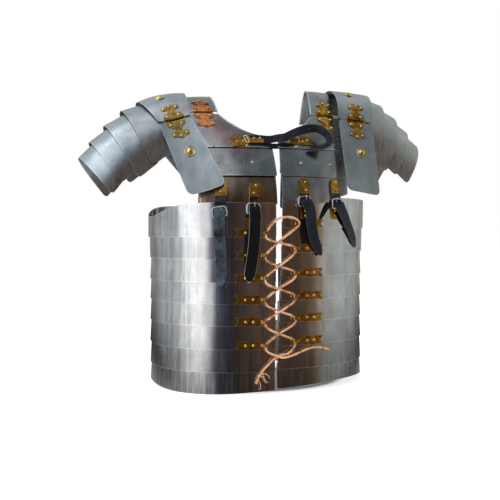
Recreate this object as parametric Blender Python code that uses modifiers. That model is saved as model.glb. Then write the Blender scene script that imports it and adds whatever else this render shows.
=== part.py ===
"""A lorica segmentata: girdle hoops, breast and back plates, shoulder guards and lames of sheet
steel, with brass hinges and ties, leather straps and one lace. Metres, +Z up, front towards -Y,
the wearer's left towards +X, origin between the shoulders at the height of the collar plates."""

from collections import namedtuple
from math import acos, asin, copysign, cos, pi, radians, sin, sqrt

import bmesh
import bpy
from mathutils import Vector

MM = 0.001
STEEL = 1.2 * MM
BRASS = 1.0 * MM
LEATHER = 2.4 * MM
CLEAR = 0.3 * MM

# Each side of the wearer: which way it lies, how far its half swings out towards the back, and how
# much its shoulder is raised.
SIDES = {
    "right": dict(sign=-1, swing=0.09, raised=-14 * MM),
    "left": dict(sign=1, swing=0.17, raised=4 * MM),
}

# The girdle's section is a superellipse, whose half width and half depth change with the height.
SECTION_POWER = 2.3
GIRTH = (
    dict(z=-0.190, half_width=184 * MM, half_depth=133 * MM),
    dict(z=-0.260, half_width=179 * MM, half_depth=131 * MM),
    dict(z=-0.300, half_width=176 * MM, half_depth=130 * MM),
    dict(z=-0.520, half_width=176 * MM, half_depth=131 * MM),
)

# Each hoop's lower edge, and how far its front and back ends stand from the middle.
HOOPS = {
    "right": (
        dict(lower=-0.264, front=0.5 * MM, back=8 * MM),
        dict(lower=-0.301, front=0.5 * MM, back=8 * MM),
        dict(lower=-0.339, front=0.5 * MM, back=8 * MM),
        dict(lower=-0.375, front=0.8 * MM, back=8 * MM),
        dict(lower=-0.412, front=1.2 * MM, back=8 * MM),
        dict(lower=-0.451, front=1.6 * MM, back=8 * MM),
        dict(lower=-0.489, front=2.2 * MM, back=8 * MM),
        dict(lower=-0.520, front=2.8 * MM, back=8 * MM),
    ),
    "left": (
        dict(lower=-0.248, front=9.5 * MM, back=50 * MM),
        dict(lower=-0.290, front=9.0 * MM, back=49 * MM),
        dict(lower=-0.331, front=8.5 * MM, back=47 * MM),
        dict(lower=-0.370, front=7.0 * MM, back=36 * MM),
        dict(lower=-0.407, front=5.0 * MM, back=39 * MM),
        dict(lower=-0.446, front=3.5 * MM, back=35 * MM),
        dict(lower=-0.485, front=1.8 * MM, back=26 * MM),
        dict(lower=-0.518, front=0.6 * MM, back=24 * MM),
    ),
}
HOOP_TOP = {"right": -0.206, "left": -0.196}
ARMPIT_DIP = {"right": 22 * MM, "left": 2 * MM}
ARMPIT_POWER = 8
HEM_SAG = {"right": 6 * MM, "left": -6 * MM}
HOOP_OVERLAP = 12 * MM
HOOP_FLARE = 0.052
HOOP_SEGMENTS = 20

# The ties on the upper six hoops, seen flat: distance from the neck's end and half the height.
TIED_HOOPS = 6
TIE_AT = {"right": 20 * MM, "left": 35 * MM}
TIE_RAISE = 7.5 * MM
TIE_SINK = 0.9 * MM
TIE_OUTLINE = (
    dict(along=0.0, half=2.6 * MM, notch=0.0),
    dict(along=6 * MM, half=2.6 * MM, notch=0.0),
    dict(along=13 * MM, half=7.0 * MM, notch=0.0),
    dict(along=48 * MM, half=7.0 * MM, notch=5 * MM),
)

# The chest and shoulders that the upper plates follow: an arch from front to back at each width.
CHEST_BASE = -0.210
CHEST_HALF_WIDTH = 184 * MM
CHEST_HALF_DEPTH = 130 * MM
CHEST_POWER = 1.6
SHOULDER_START = 90 * MM
SHOULDER_SLOPE = 0.08
COLLAR_HINGE = -0.050
COLLAR_OUTER = {"right": 125 * MM, "left": 139 * MM}
COLLAR_HINGE_MIDDLE = {"right": 101 * MM, "left": 98.5 * MM}
COLLAR_OFF = 1.0 * MM
NECK_SIDE = {"right": 77 * MM, "left": 72 * MM}
NECK_POWER = 2.2
HINGE_GAP = 4.2 * MM

# Breast and back plates in mm: their inner and outer edges, top and bottom, how much higher the
# bottom is at the outer end, how far the top and the bottom stand off the chest, and the radius of
# the lower inner corner. A top of None is the neck's curve, which is this high at the inner edge.
Plate = namedtuple("Plate", "name inner outer top neck bottom rise off corner")
BREAST = {
    "right": (
        Plate("breast_collar", 1, 138, None, -92, -114, 0, (1.0, 3.4), 1),
        Plate("breast_band", -4, 129, -102, -92, -162, 0, (0.6, 3.4), 2),
        Plate("breast_lower", -3, 122, -150, -92, -209, 0, (-1.5, -1.5), 2),
    ),
    "left": (
        Plate("breast_collar", 6, 146, None, -92, -114, 0, (1.0, 3.4), 1),
        Plate("breast_band", 8, 141, -102, -92, -162, 0, (0.6, 3.6), 9),
        Plate("breast_lower", 10, 134, -150, -92, -208, 18, (0.0, 7.0), 8),
    ),
}
BACK = {
    "right": (
        Plate("back_upper", 12, 118, None, -72, -122, 0, (1.0, 3.2), 4),
        Plate("back_lower", 14, 62, -110, -72, -208, 0, (-0.6, -2.5), 4),
    ),
    "left": (
        Plate("back_upper", 38, 118, None, -72, -140, 0, (1.0, 3.2), 4),
        Plate("back_lower", 40, 116, -128, -72, -208, 0, (-0.6, -2.5), 4),
    ),
}
LOWER_LEVELS = (1, 0.5, 0.15, 0)
CORNER_LEVEL = 1 / 60

# The edges of the shoulder bands from the neck outwards, in mm and degrees: the top of each arch,
# its lean inwards as it comes down, its radius from front to back, how much its height is of that
# radius, and the length of its straight ends.
Edge = namedtuple("Edge", "x z lean radius arch leg")
ARM_EDGES = {
    "right": (
        Edge(137, -10, 0, 86, 0.83, 0),
        Edge(218, -29, 34, 84, 0.92, 0),
        Edge(246, -45, 25, 82, 1, 26),
        Edge(275, -72, 29, 80, 1, 28),
        Edge(300, -101, 34, 77, 1, 12),
        Edge(318, -128, 39, 74, 1, 10),
    ),
    "left": (
        Edge(137, 7, 7, 86, 1.05, 0),
        Edge(209, 1, 14, 84, 1.14, 0),
        Edge(234, -15, 15, 82, 1.05, 40),
        Edge(262, -38, 20, 80, 1, 36),
        Edge(287, -63, 26, 77, 1, 24),
        Edge(309, -88, 28, 74, 1, 17),
    ),
}
LAMES = 4
LAME_LAP = 14
LAME_SINK = 5
GUARD_ANGLE = radians(70)
GUARD_SKEW = {"right": radians(10), "left": 0.0}
GUARD_CROWN = {"right": 5, "left": 1}
ARCH_SEGMENTS = 16
GUARD_SEGMENTS = 4

# The lower corners of the guard's strips: the one towards the neck and the one towards the arm.
STRIP_CORNERS = {
    ("right", "front"): ((84 * MM, -126 * MM, -0.175), (146 * MM, -119 * MM, -0.195)),
    ("left", "front"): ((130 * MM, -124 * MM, -0.182), (194 * MM, -114 * MM, -0.185)),
    ("right", "back"): ((44 * MM, 127 * MM, -0.154), (97 * MM, 125 * MM, -0.170)),
    ("left", "back"): ((124 * MM, 128 * MM, -0.182), (186 * MM, 116 * MM, -0.186)),
}
STRIP_RADIUS = 10 * MM

# A hinge leaf seen flat: distance from its plate's edge and half its width there.
LEAF_OUTLINE = (
    dict(along=1.2 * MM, half=16 * MM),
    dict(along=8 * MM, half=17 * MM),
    dict(along=13 * MM, half=13 * MM),
    dict(along=18 * MM, half=7 * MM),
    dict(along=23 * MM, half=14 * MM),
    dict(along=27 * MM, half=15 * MM),
    dict(along=32 * MM, half=5 * MM),
)
LEAF_SINK = 1.05 * MM
LEAF_PAST_PIN = 0.2 * MM
LEAVES_MEET = 0.6
PIN_RADIUS = 1.3 * MM
PIN_HALF_LENGTH = 15 * MM

# The straps in mm, point by point from the riveted end to the tip: place, distance from the
# plates' mean face, degrees by which the strap is turned on edge, and its width.
Stop = namedtuple("Stop", "x z off turn width")
STRAPS = {
    "strap_outer_right": (
        Stop(-92, -182, 0.2, 0, 19),
        Stop(-92.5, -196, 3.5, 0, 19),
        Stop(-92.5, -207, 3, 0, 19),
        Stop(-92.5, -218, 6, 0, 19),
        Stop(-93, -240, 6.5, 0, 19),
        Stop(-95, -285, 6.5, 0, 19),
        Stop(-94, -330, 6.5, 0, 19),
        Stop(-94, -345, 6.5, 0, 6),
    ),
    "strap_inner_right": (
        Stop(-36.5, -179, 0.2, 0, 19),
        Stop(-37, -195, 3.5, 0, 19),
        Stop(-37.5, -207, 3, 0, 19),
        Stop(-38, -218, 6, 0, 19),
        Stop(-39, -240, 6.5, 0, 19),
        Stop(-43, -285, 6.5, 0, 19),
        Stop(-46, -325, 6.5, 0, 19),
        Stop(-47, -339, 6.5, 0, 6),
    ),
    "strap_inner_left": (
        Stop(50.5, -169, 4.2, 0, 19),
        Stop(50.7, -187, 6.5, 0, 19),
        Stop(50.7, -202, 10, 0, 19),
        Stop(53, -220, 10, 0, 19),
        Stop(59, -245, 9, 0, 19),
        Stop(68, -270, 8, 0, 19),
        Stop(78, -288, 8, 0, 15),
        Stop(82, -295, 8, 0, 5),
    ),
    "strap_outer_left": (
        Stop(108, -168, 4.2, 0, 19),
        Stop(109, -186, 6.5, 0, 19),
        Stop(110, -200, 10, 0, 19),
        Stop(117, -218, 10, 0, 19),
        Stop(128, -240, 9, 0, 19),
        Stop(140, -262, 8, 0, 19),
        Stop(149, -276, 8, 0, 15),
        Stop(153, -282, 8, 0, 5),
    ),
    "strap_collar": (
        Stop(-40, -98, 9, 0, 15),
        Stop(-22, -98, 9.5, 0, 15),
        Stop(0, -98, 11, 0, 15),
        Stop(15, -96, 13, 0, 15),
        Stop(32, -88, 16, 10, 15),
        Stop(50, -80, 20, 20, 15),
        Stop(70, -75, 24, 35, 15),
        Stop(90, -80, 27, 60, 15),
        Stop(102, -94, 27, 80, 15),
        Stop(98, -107, 24, 70, 15),
        Stop(82, -114, 19, 55, 15),
        Stop(60, -115, 13, 40, 15),
        Stop(44, -112, 10, 25, 12),
        Stop(36, -110, 9, 20, 5),
    ),
}
BACK_STRAPS = {"strap_back_right": -62, "strap_back_left": 112}
BACK_STRAP_STOPS = (
    Stop(0, -170, 1, 0, 19),
    Stop(0, -185, 3, 0, 19),
    Stop(0, -199, 7.5, 0, 19),
    Stop(0, -215, 7, 0, 19),
    Stop(0, -245, 6, 0, 19),
    Stop(0, -268, 6, 0, 19),
)

# The lace in mm: across, height and stand-off of its centre. It climbs from the knot through every
# second tie, crosses at the top, and comes down through the others.
Bend = namedtuple("Bend", "x z off")
LACE_RADIUS = 1.9 * MM
LACE_STEPS = 2
LACE_START = (
    Bend(-36, -507, 7),
    Bend(-31, -494, 7),
    Bend(-20, -480, 7),
    Bend(-6, -467, 8),
    Bend(6, -461, 6),
    Bend(18, -458, 9),
)
LACE_TOP = (Bend(-2, -235, 8), Bend(16, -230, 9), Bend(33, -234, 8), Bend(36, -245, 7))
LACE_END = (
    Bend(-4, -460, 11),
    Bend(10, -464, 12),
    Bend(28, -461, 9),
    Bend(55, -452, 8),
    Bend(78, -451, 8),
    Bend(99, -457, 7.5),
)
LACE_EYES = {"right": -17.5, "left": 29.5}
LACE_EYE_DROP = 3.5
LACE_EYE_HALF = 6
LACE_EYE_OFF = 7
LACE_CROSSINGS = dict(x=4, over=10.8, under=5.6)


def new_collection(name, hidden=False):
    collection = bpy.data.collections.new(name)
    collection.hide_render = hidden
    bpy.context.scene.collection.children.link(collection)
    return collection


def new_material(name, colour, metallic, roughness):
    material = bpy.data.materials.new(name)
    material.use_nodes = True
    shader = material.node_tree.nodes["Principled BSDF"]
    shader.inputs["Base Color"].default_value = (*colour, 1)
    shader.inputs["Metallic"].default_value = metallic
    shader.inputs["Roughness"].default_value = roughness
    return material


def mix(low, high, part):
    return low + (high - low) * part


def superellipse(part, power):
    """What is left of one half axis when the other is used up to this part."""
    return max(0.0, 1 - min(abs(part), 1) ** power) ** (1 / power)


def swung(side, x, y, z):
    """A point of the half on this side, moved out by the half's swing."""
    out = SIDES[side]["swing"] * max(0.0, y + GIRTH[1]["half_depth"])
    return Vector((SIDES[side]["sign"] * (x + out), y, z))


def outward(points, row, column, inside):
    """Normal of a grid of points at one of them, facing away from the point inside."""
    across = points[row][min(column + 1, len(points[0]) - 1)] - points[row][max(column - 1, 0)]
    down = points[min(row + 1, len(points) - 1)][column] - points[max(row - 1, 0)][column]
    normal = across.cross(down).normalized()
    return normal if normal.dot(points[row][column] - inside) > 0 else -normal


def sheet(name, rows, inside, thickness, material, collection, offset=-1.0):
    """A grid of points as an open surface, thickened by Solidify towards the point inside."""
    mesh = bpy.data.meshes.new(name)
    grid = bmesh.new()
    vertices = [[grid.verts.new(point) for point in row] for row in rows]
    middle = (len(rows) - 1) // 2, (len(rows[0]) - 1) // 2
    turn = outward(rows, *middle, inside)
    for upper, lower in zip(vertices, vertices[1:]):
        for a, b, c, d in zip(upper, upper[1:], lower[1:], lower):
            grid.faces.new((a, b, c, d))
    grid.faces.ensure_lookup_table()
    grid.normal_update()
    facing = grid.faces[middle[0] * (len(rows[0]) - 1) + middle[1]].normal
    if facing.dot(turn) < 0:
        bmesh.ops.reverse_faces(grid, faces=grid.faces)
    grid.to_mesh(mesh)
    grid.free()
    mesh.materials.append(material)
    obj = bpy.data.objects.new(name, mesh)
    collection.objects.link(obj)
    shell = obj.modifiers.new("thickness", "SOLIDIFY")
    shell.thickness = thickness
    shell.offset = offset
    shell.use_even_offset = True
    return obj


def join(obj, others):
    """Joins the helpers to the object by Boolean unions, and hides them."""
    for other in others:
        union = obj.modifiers.new(f"join {other.name}", "BOOLEAN")
        union.operation = "UNION"
        union.solver = "EXACT"
        union.object = other
        other.hide_render = True
        other.display_type = "WIRE"


def corner_inset(from_end, radius):
    """How far a rounded corner draws the side in, at a distance from the end of the plate."""
    if from_end >= radius:
        return 0.0
    return radius - sqrt(radius**2 - (radius - from_end) ** 2)


def girth(z):
    """Half width and half depth of the girdle at a height."""
    upper, lower = next(
        ((a, b) for a, b in zip(GIRTH, GIRTH[1:]) if z >= b["z"]), (GIRTH[-2], GIRTH[-1])
    )
    part = min(max((upper["z"] - z) / (upper["z"] - lower["z"]), 0), 1)
    return (
        mix(upper["half_width"], lower["half_width"], part),
        mix(upper["half_depth"], lower["half_depth"], part),
    )


def girdle_turn(x, z):
    """The angle from the middle at which the girdle's section reaches this far across."""
    return asin((x / girth(z)[0]) ** (SECTION_POWER / 2))


def girdle_point(side, turn, z, off):
    """A point of the girdle: turn is 0 in the middle of the front and pi behind."""
    half_width, half_depth = girth(z)
    power = 2 / SECTION_POWER
    x = (half_width + off) * max(sin(turn), 0) ** power
    y = -(half_depth + off) * copysign(abs(cos(turn)) ** power, cos(turn))
    return swung(side, x, y, z)


def hoop_top(side, number):
    if number == 0:
        return HOOP_TOP[side]
    return HOOPS[side][number - 1]["lower"] + HOOP_OVERLAP


def hoop(side, number, steel, collection):
    """One half hoop, flared so that its lower edge stands outside the next one."""
    row = HOOPS[side][number]
    top = hoop_top(side, number)
    rows = []
    for level in (top, row["lower"]):
        first = girdle_turn(row["front"], level)
        last = pi - girdle_turn(row["back"], level)
        points = []
        for step in range(HOOP_SEGMENTS + 1):
            turn = mix(first, last, step / HOOP_SEGMENTS)
            z = level
            if number == 0 and level == top:
                z -= ARMPIT_DIP[side] * sin(turn) ** ARMPIT_POWER
            if number == len(HOOPS[side]) - 1 and level != top:
                z -= HEM_SAG[side] * max(0.0, sin(2 * turn))
            points.append(girdle_point(side, turn, z, HOOP_FLARE * (top - level)))
        rows.append(points)
    inside = Vector((0, 0, row["lower"]))
    return sheet(f"hoop_{number + 1}_{side}", rows, inside, STEEL, steel, collection)


def tie(side, number, brass, helpers):
    """A brass tie on a hoop: a plate with a notched end, which narrows to a neck."""
    top = hoop_top(side, number)
    middle = HOOPS[side][number]["lower"] + TIE_RAISE
    rows = []
    for height in (1, 0, -1):
        points = []
        for stop in TIE_OUTLINE:
            z = middle + height * stop["half"]
            x = TIE_AT[side] + stop["along"] - (0 if height else stop["notch"])
            off = HOOP_FLARE * (top - z) + BRASS
            points.append(girdle_point(side, girdle_turn(x, z), z, off))
        rows.append(points)
    inside = Vector((0, 0, middle))
    name = f"tie_{number + 1}_{side}"
    return sheet(name, rows, inside, BRASS + TIE_SINK, brass, helpers)


def chest_half(x):
    """Half depth and height of the chest's arch at a distance from the middle."""
    depth = CHEST_HALF_DEPTH * superellipse(x / CHEST_HALF_WIDTH, SECTION_POWER)
    return depth, -CHEST_BASE - SHOULDER_SLOPE * max(0.0, x - SHOULDER_START)


def chest_point(side, x, turn, off):
    """A point of the chest: turn is 0 on the shoulder, and a right angle at the arch's foot."""
    depth, height = chest_half(x)
    power = 2 / CHEST_POWER
    y = copysign((depth + off) * abs(sin(turn)) ** power, turn)
    rise = max(cos(turn), 0) ** power
    return swung(side, x, y, CHEST_BASE + (height + off + SIDES[side]["raised"]) * rise)


def chest_turn(side, x, z):
    """The turn at which the chest's arch comes down to a height."""
    rise = (z - CHEST_BASE) / (chest_half(x)[1] + SIDES[side]["raised"])
    return acos(min(rise, 1) ** (CHEST_POWER / 2))


def neck_height(side, x, middle):
    """The upper edge of a collar plate: the neck's curve, then the hinge's line."""
    part = min(x / NECK_SIDE[side], 1)
    return mix(middle, COLLAR_HINGE - HINGE_GAP / 2, part**NECK_POWER)


def plate_top(side, plate, x):
    """The height of a breast or back plate's upper edge at a distance from the middle."""
    if plate.top is None:
        return neck_height(side, x, plate.neck * MM)
    return plate.top * MM


def plate_bottom(side, plate, x):
    """The height of a breast or back plate's lower edge, which may rise towards the arm."""
    part = (x - NECK_SIDE[side]) / (plate.outer * MM - NECK_SIDE[side])
    return (plate.bottom + plate.rise * max(0.0, part)) * MM


def stand_off(side, plate, x, z):
    """How far a breast or back plate stands off the chest at a place."""
    top = plate_top(side, plate, x)
    return mix(*plate.off, (top - z) / (top - plate.bottom * MM)) * MM


def chest_plate(side, plate, behind, steel, collection):
    """A breast or back plate on the chest, from its inner edge out to the arm."""
    inner, outer, corner = plate.inner * MM, plate.outer * MM, plate.corner * MM
    neck = min(NECK_SIDE[side], mix(inner, outer, 0.7))
    stops = [mix(inner, neck, step / 7) for step in range(8)]
    stops += [mix(neck, outer, step / 4) for step in range(1, 5)]
    levels = [0, 0.33, 0.66] + [1 - plate.corner * part * CORNER_LEVEL for part in LOWER_LEVELS]
    rows = []
    for level in levels:
        points = []
        for x in stops:
            bottom = plate_bottom(side, plate, x)
            z = mix(plate_top(side, plate, x), bottom, level)
            drawn_in = corner_inset(z - bottom, corner) * (outer - x) / (outer - inner)
            turn = chest_turn(side, x + drawn_in, z)
            turn = turn if behind else -turn
            points.append(chest_point(side, x + drawn_in, turn, stand_off(side, plate, x, z)))
        rows.append(points)
    inside = Vector((SIDES[side]["sign"] * neck, 0, CHEST_BASE))
    return sheet(f"{plate.name}_{side}", rows, inside, STEEL, steel, collection)


def shoulder_plate(side, steel, collection):
    """The collar plate that arches over the shoulder, between its two hinges."""
    outer = COLLAR_OUTER[side]
    rows = []
    for x in (NECK_SIDE[side], mix(NECK_SIDE[side], outer, 0.5), outer):
        end = chest_turn(side, x, COLLAR_HINGE + HINGE_GAP / 2)
        turns = [mix(-end, end, step / ARCH_SEGMENTS) for step in range(ARCH_SEGMENTS + 1)]
        rows.append([chest_point(side, x, turn, COLLAR_OFF) for turn in turns])
    inside = Vector((SIDES[side]["sign"] * outer, 0, CHEST_BASE))
    return sheet(f"shoulder_{side}", rows, inside, STEEL, steel, collection)


def between(first, second, part, sink=0.0):
    """The line between two edges at this part of the way, sunk towards the arm."""
    edge = Edge(*(mix(a, b, part) for a, b in zip(first, second)))
    lean = radians(edge.lean)
    return edge._replace(
        radius=edge.radius - sink, x=edge.x - sink * sin(lean), z=edge.z - sink * cos(lean)
    )


def arch_point(side, edge, angle, leg=0.0):
    """A point of a shoulder band's edge: angle is 0 on top and a right angle at the side."""
    down = edge.radius * edge.arch * (1 - cos(angle)) + leg
    x = edge.x - down * sin(radians(edge.lean))
    z = edge.z - down * cos(radians(edge.lean))
    return Vector((SIDES[side]["sign"] * x, edge.radius * sin(angle), z)) * MM


def arm_inside(side, edge):
    """A point inside the arm, below the top of an edge."""
    x = edge.x - edge.radius / 2
    return Vector((SIDES[side]["sign"] * x, 0, edge.z - edge.radius)) * MM


def band_edges(side, number):
    """The inner and outer edge of the guard, number 0, or of a lame, each under the one before."""
    outer = ARM_EDGES[side][number + 1]
    if number == 0:
        return ARM_EDGES[side][0], outer
    above, below = band_edges(side, number - 1)
    width = Vector((below.x - above.x, below.z - above.z)).length
    return between(above, below, 1 - LAME_LAP / width, LAME_SINK), outer


def lame(side, number, steel, collection):
    """One lame: a band over the arm with straight ends, its inner edge under the band before."""
    inner, outer = band_edges(side, number)
    rows = []
    for part in (0, 0.5, 1):
        edge = between(inner, outer, part)
        points = [arch_point(side, edge, radians(-90), outer.leg)]
        for step in range(ARCH_SEGMENTS + 1):
            angle = mix(radians(-90), radians(90), step / ARCH_SEGMENTS)
            points.append(arch_point(side, edge, angle))
        points.append(arch_point(side, edge, radians(90), outer.leg))
        rows.append(points)
    inside = arm_inside(side, outer)
    return sheet(f"lame_{number}_{side}", rows, inside, STEEL, steel, collection)


def guard_end(side, end, across):
    """The angle at which the guard's top plate ends, in front or behind."""
    return -GUARD_ANGLE if end == "front" else GUARD_ANGLE + GUARD_SKEW[side] * across


def guard_point(side, across, angle, off):
    """A point of the guard's top plate: across is 0 at the neck's side and 1 at the arm's."""
    inner, outer = band_edges(side, 0)
    crown = GUARD_CROWN[side] * 4 * across * (1 - across) * max(0, 1 - (angle / GUARD_ANGLE) ** 2)
    return arch_point(side, between(inner, outer, across, -off / MM - crown), angle)


def guard_top(side, steel, collection):
    """The guard's top plate, between its two hinges."""
    rows = []
    for step in range(GUARD_SEGMENTS + 1):
        across = step / GUARD_SEGMENTS
        ends = guard_end(side, "front", across), guard_end(side, "back", across)
        angles = [mix(*ends, turn / ARCH_SEGMENTS) for turn in range(ARCH_SEGMENTS + 1)]
        rows.append([guard_point(side, across, angle, 0) for angle in angles])
    inside = arm_inside(side, ARM_EDGES[side][1])
    return sheet(f"guard_top_{side}", rows, inside, STEEL, steel, collection)


def strip_point(side, end, across, along, off):
    """A point of a guard strip: along is the distance from the guard's top plate."""
    top = [guard_point(side, part, guard_end(side, end, part), 0) for part in (0, 1)]
    sign = SIDES[side]["sign"]
    low = [Vector((sign * x, y, z)) for x, y, z in STRIP_CORNERS[side, end]]
    run = (low[0] - top[0]).normalized().lerp((low[1] - top[1]).normalized(), across)
    normal = (top[1] - top[0]).cross(run).normalized()
    normal = normal if normal.y * low[0].y > 0 else -normal
    start = guard_point(side, across, guard_end(side, end, across), 0)
    return start + run * along + normal * off


def strip_length(side, end):
    x, y, z = STRIP_CORNERS[side, end][0]
    corner = Vector((SIDES[side]["sign"] * x, y, z))
    return (corner - guard_point(side, 0, guard_end(side, end, 0), 0)).length


def guard_strip(side, end, steel, collection):
    """The strip that hangs from the guard's hinge, with rounded lower corners."""
    length = strip_length(side, end)
    stops = [HINGE_GAP, length / 2]
    stops += [length - STRIP_RADIUS * part for part in LOWER_LEVELS]
    rows = []
    for along in stops:
        width = (strip_point(side, end, 1, along, 0) - strip_point(side, end, 0, along, 0)).length
        inset = corner_inset(length - along, STRIP_RADIUS) / width
        places = [mix(inset, 1 - inset, step / GUARD_SEGMENTS) for step in range(GUARD_SEGMENTS + 1)]
        rows.append([strip_point(side, end, across, along, 0) for across in places])
    inside = Vector((rows[0][2].x, 0, rows[1][2].z))
    return sheet(f"guard_{end}_{side}", rows, inside, STEEL, steel, collection)


def pin(name, first, last, brass, helpers):
    """A hinge pin between two points."""
    mesh = bpy.data.meshes.new(name)
    turned = bmesh.new()
    axis = last - first
    bmesh.ops.create_cone(
        turned, cap_ends=True, segments=10, radius1=PIN_RADIUS, radius2=PIN_RADIUS, depth=axis.length
    )
    turned.to_mesh(mesh)
    turned.free()
    mesh.materials.append(brass)
    obj = bpy.data.objects.new(name, mesh)
    obj.location = (first + last) / 2
    obj.rotation_euler = axis.to_track_quat("Z", "Y").to_euler()
    helpers.objects.link(obj)
    return obj


def leaf(name, place, inside, start, sink, brass, collection):
    """A hinge leaf on a plate: place gives a point from across, along and stand-off."""
    rows = []
    for number, stop in enumerate(LEAF_OUTLINE):
        along = start if number == 0 else stop["along"]
        rows.append([place(across * stop["half"], along, CLEAR + BRASS) for across in (-1, 0, 1)])
    return sheet(name, rows, inside, BRASS + sink, brass, collection)


def chest_walk(side, x, turn, distance):
    """The turn reached after going this far down the chest at a width, or up if it is negative."""
    step = radians(0.5) * copysign(1, turn) * copysign(1, distance)
    walked = 0.0
    here = chest_point(side, x, turn, 0)
    while walked < abs(distance):
        turn += step
        there = chest_point(side, x, turn, 0)
        walked += (there - here).length
        here = there
    return turn


def collar_hinge(side, end, plate, brass, collection, helpers):
    """The hinge between the shoulder plate and a breast or back plate, which lie still in wear."""
    facing = -1 if end == "front" else 1
    middle = COLLAR_HINGE_MIDDLE[side]

    def place_on(direction):
        def place(across, along, off):
            x = middle + across
            edge = facing * chest_turn(side, x, COLLAR_HINGE + direction * HINGE_GAP / 2)
            turn = chest_walk(side, x, edge, -direction * along)
            under = COLLAR_OFF
            if direction < 0:
                under = stand_off(side, plate, x, chest_point(side, x, turn, 0).z)
            return chest_point(side, x, turn, under + off + CLEAR)

        return place

    name = f"collar_hinge_{end}_{side}"
    inside = Vector((SIDES[side]["sign"] * middle, 0, CHEST_BASE))
    ends = []
    for x in (middle - PIN_HALF_LENGTH, middle + PIN_HALF_LENGTH):
        turn = facing * chest_turn(side, x, COLLAR_HINGE)
        ends.append(chest_point(side, x, turn, COLLAR_OFF - STEEL / 4))
    over_pin = -LEAVES_MEET * HINGE_GAP
    lower = leaf(name, place_on(-1), inside, over_pin, 0, brass, collection)
    upper = leaf(f"{name}_upper", place_on(1), inside, over_pin, 0, brass, helpers)
    join(lower, [pin(f"{name}_pin", *ends, brass, helpers), upper])
    return lower


def guard_hinge(side, end, top, brass, collection, helpers):
    """A guard hinge: its upper leaf is one with the top plate, its lower leaf holds the pin."""
    facing = -1 if end == "front" else 1
    guard_radius = ARM_EDGES[side][1].radius * MM
    name = f"guard_hinge_{end}_{side}"

    def on_guard(across, along, off):
        angle = facing * (GUARD_ANGLE - along / guard_radius)
        part = 0.5 + across / (guard_point(side, 1, angle, 0) - guard_point(side, 0, angle, 0)).length
        skewed = angle + guard_end(side, end, part) - facing * GUARD_ANGLE
        return guard_point(side, part, skewed, off)

    def on_strip(across, along, off):
        along += HINGE_GAP
        width = (strip_point(side, end, 1, along, 0) - strip_point(side, end, 0, along, 0)).length
        return strip_point(side, end, 0.5 + across / width, along, off)

    inside = arm_inside(side, ARM_EDGES[side][1])
    start = LEAF_OUTLINE[0]["along"]
    upper = leaf(f"{name}_upper", on_guard, inside, start, LEAF_SINK, brass, helpers)
    join(top, [upper])
    lower = leaf(name, on_strip, inside, LEAF_PAST_PIN - HINGE_GAP / 2, 0, brass, collection)
    halves = (-PIN_HALF_LENGTH, PIN_HALF_LENGTH)
    ends = [on_strip(across, -HINGE_GAP / 2, -STEEL / 2) for across in halves]
    join(lower, [pin(f"{name}_pin", *ends, brass, helpers)])
    return lower


def face_depth(x, z, behind=False):
    """How far the girdle or the chest reaches forwards at a place, or backwards behind."""
    side = "left" if x > 0 else "right"
    base = abs(x)
    for _ in range(6):
        if z > HOOP_TOP["right"]:
            depth = -chest_point(side, base, -chest_turn(side, base, z), 0).y
        else:
            depth = girth(z)[1] * superellipse(base / girth(z)[0], SECTION_POWER)
        y = depth if behind else -depth
        base = max(0.0, abs(x) - SIDES[side]["swing"] * max(0.0, y + GIRTH[1]["half_depth"]))
    return depth


def strap(name, stops, leather, collection, behind=False):
    """A strap of leather laid along its stops, each turned on edge as the stop says."""
    centres = []
    facings = []
    back = 1 if behind else -1
    for stop in stops:
        depth, beside = (face_depth(x * MM, stop.z * MM, behind) for x in (stop.x, stop.x + 1))
        centres.append(Vector((stop.x * MM, back * (depth + stop.off * MM), stop.z * MM)))
        facings.append(Vector(((depth - beside) / MM, back, 0)).normalized())
    rows = [[], []]
    for number, (centre, stop) in enumerate(zip(centres, stops)):
        run = centres[min(number + 1, len(centres) - 1)] - centres[max(number - 1, 0)]
        side_way = facings[number].cross(run).normalized()
        turn = radians(stop.turn)
        across = side_way * cos(turn) + run.cross(side_way).normalized() * sin(turn)
        rows[0].append(centre - across * stop.width * MM / 2)
        rows[1].append(centre + across * stop.width * MM / 2)
    return sheet(name, rows, Vector((0, 0, -0.25)), LEATHER, leather, collection, offset=0)


def smooth_route(points, steps):
    """A smooth curve through the points, each stretch read at this many steps."""
    found = []
    for number in range(len(points) - 1):
        before = points[max(number - 1, 0)]
        start, end = points[number], points[number + 1]
        after = points[min(number + 2, len(points) - 1)]
        for step in range(steps):
            part = step / steps
            found.append(
                0.5
                * (
                    2 * start
                    + (end - before) * part
                    + (2 * before - 5 * start + 4 * end - after) * part**2
                    + (3 * start - before - 3 * end + after) * part**3
                )
            )
    return found + [points[-1]]


def lace_through(numbers, first, climbing, off):
    """The lace through one tie after another, from side to side, with a crossing between them."""
    bends = []
    side = first
    for number in numbers:
        middle = (HOOPS[side][number]["lower"] + TIE_RAISE) / MM - LACE_EYE_DROP
        ends = (middle - LACE_EYE_HALF, middle + LACE_EYE_HALF)
        entered, left = ends if climbing else reversed(ends)
        if bends:
            bends.append(Bend(LACE_CROSSINGS["x"], mix(bends[-1].z, entered, 0.5), off))
        bends += [Bend(LACE_EYES[side], z, LACE_EYE_OFF) for z in (entered, left)]
        side = "left" if side == "right" else "right"
    return bends


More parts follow.
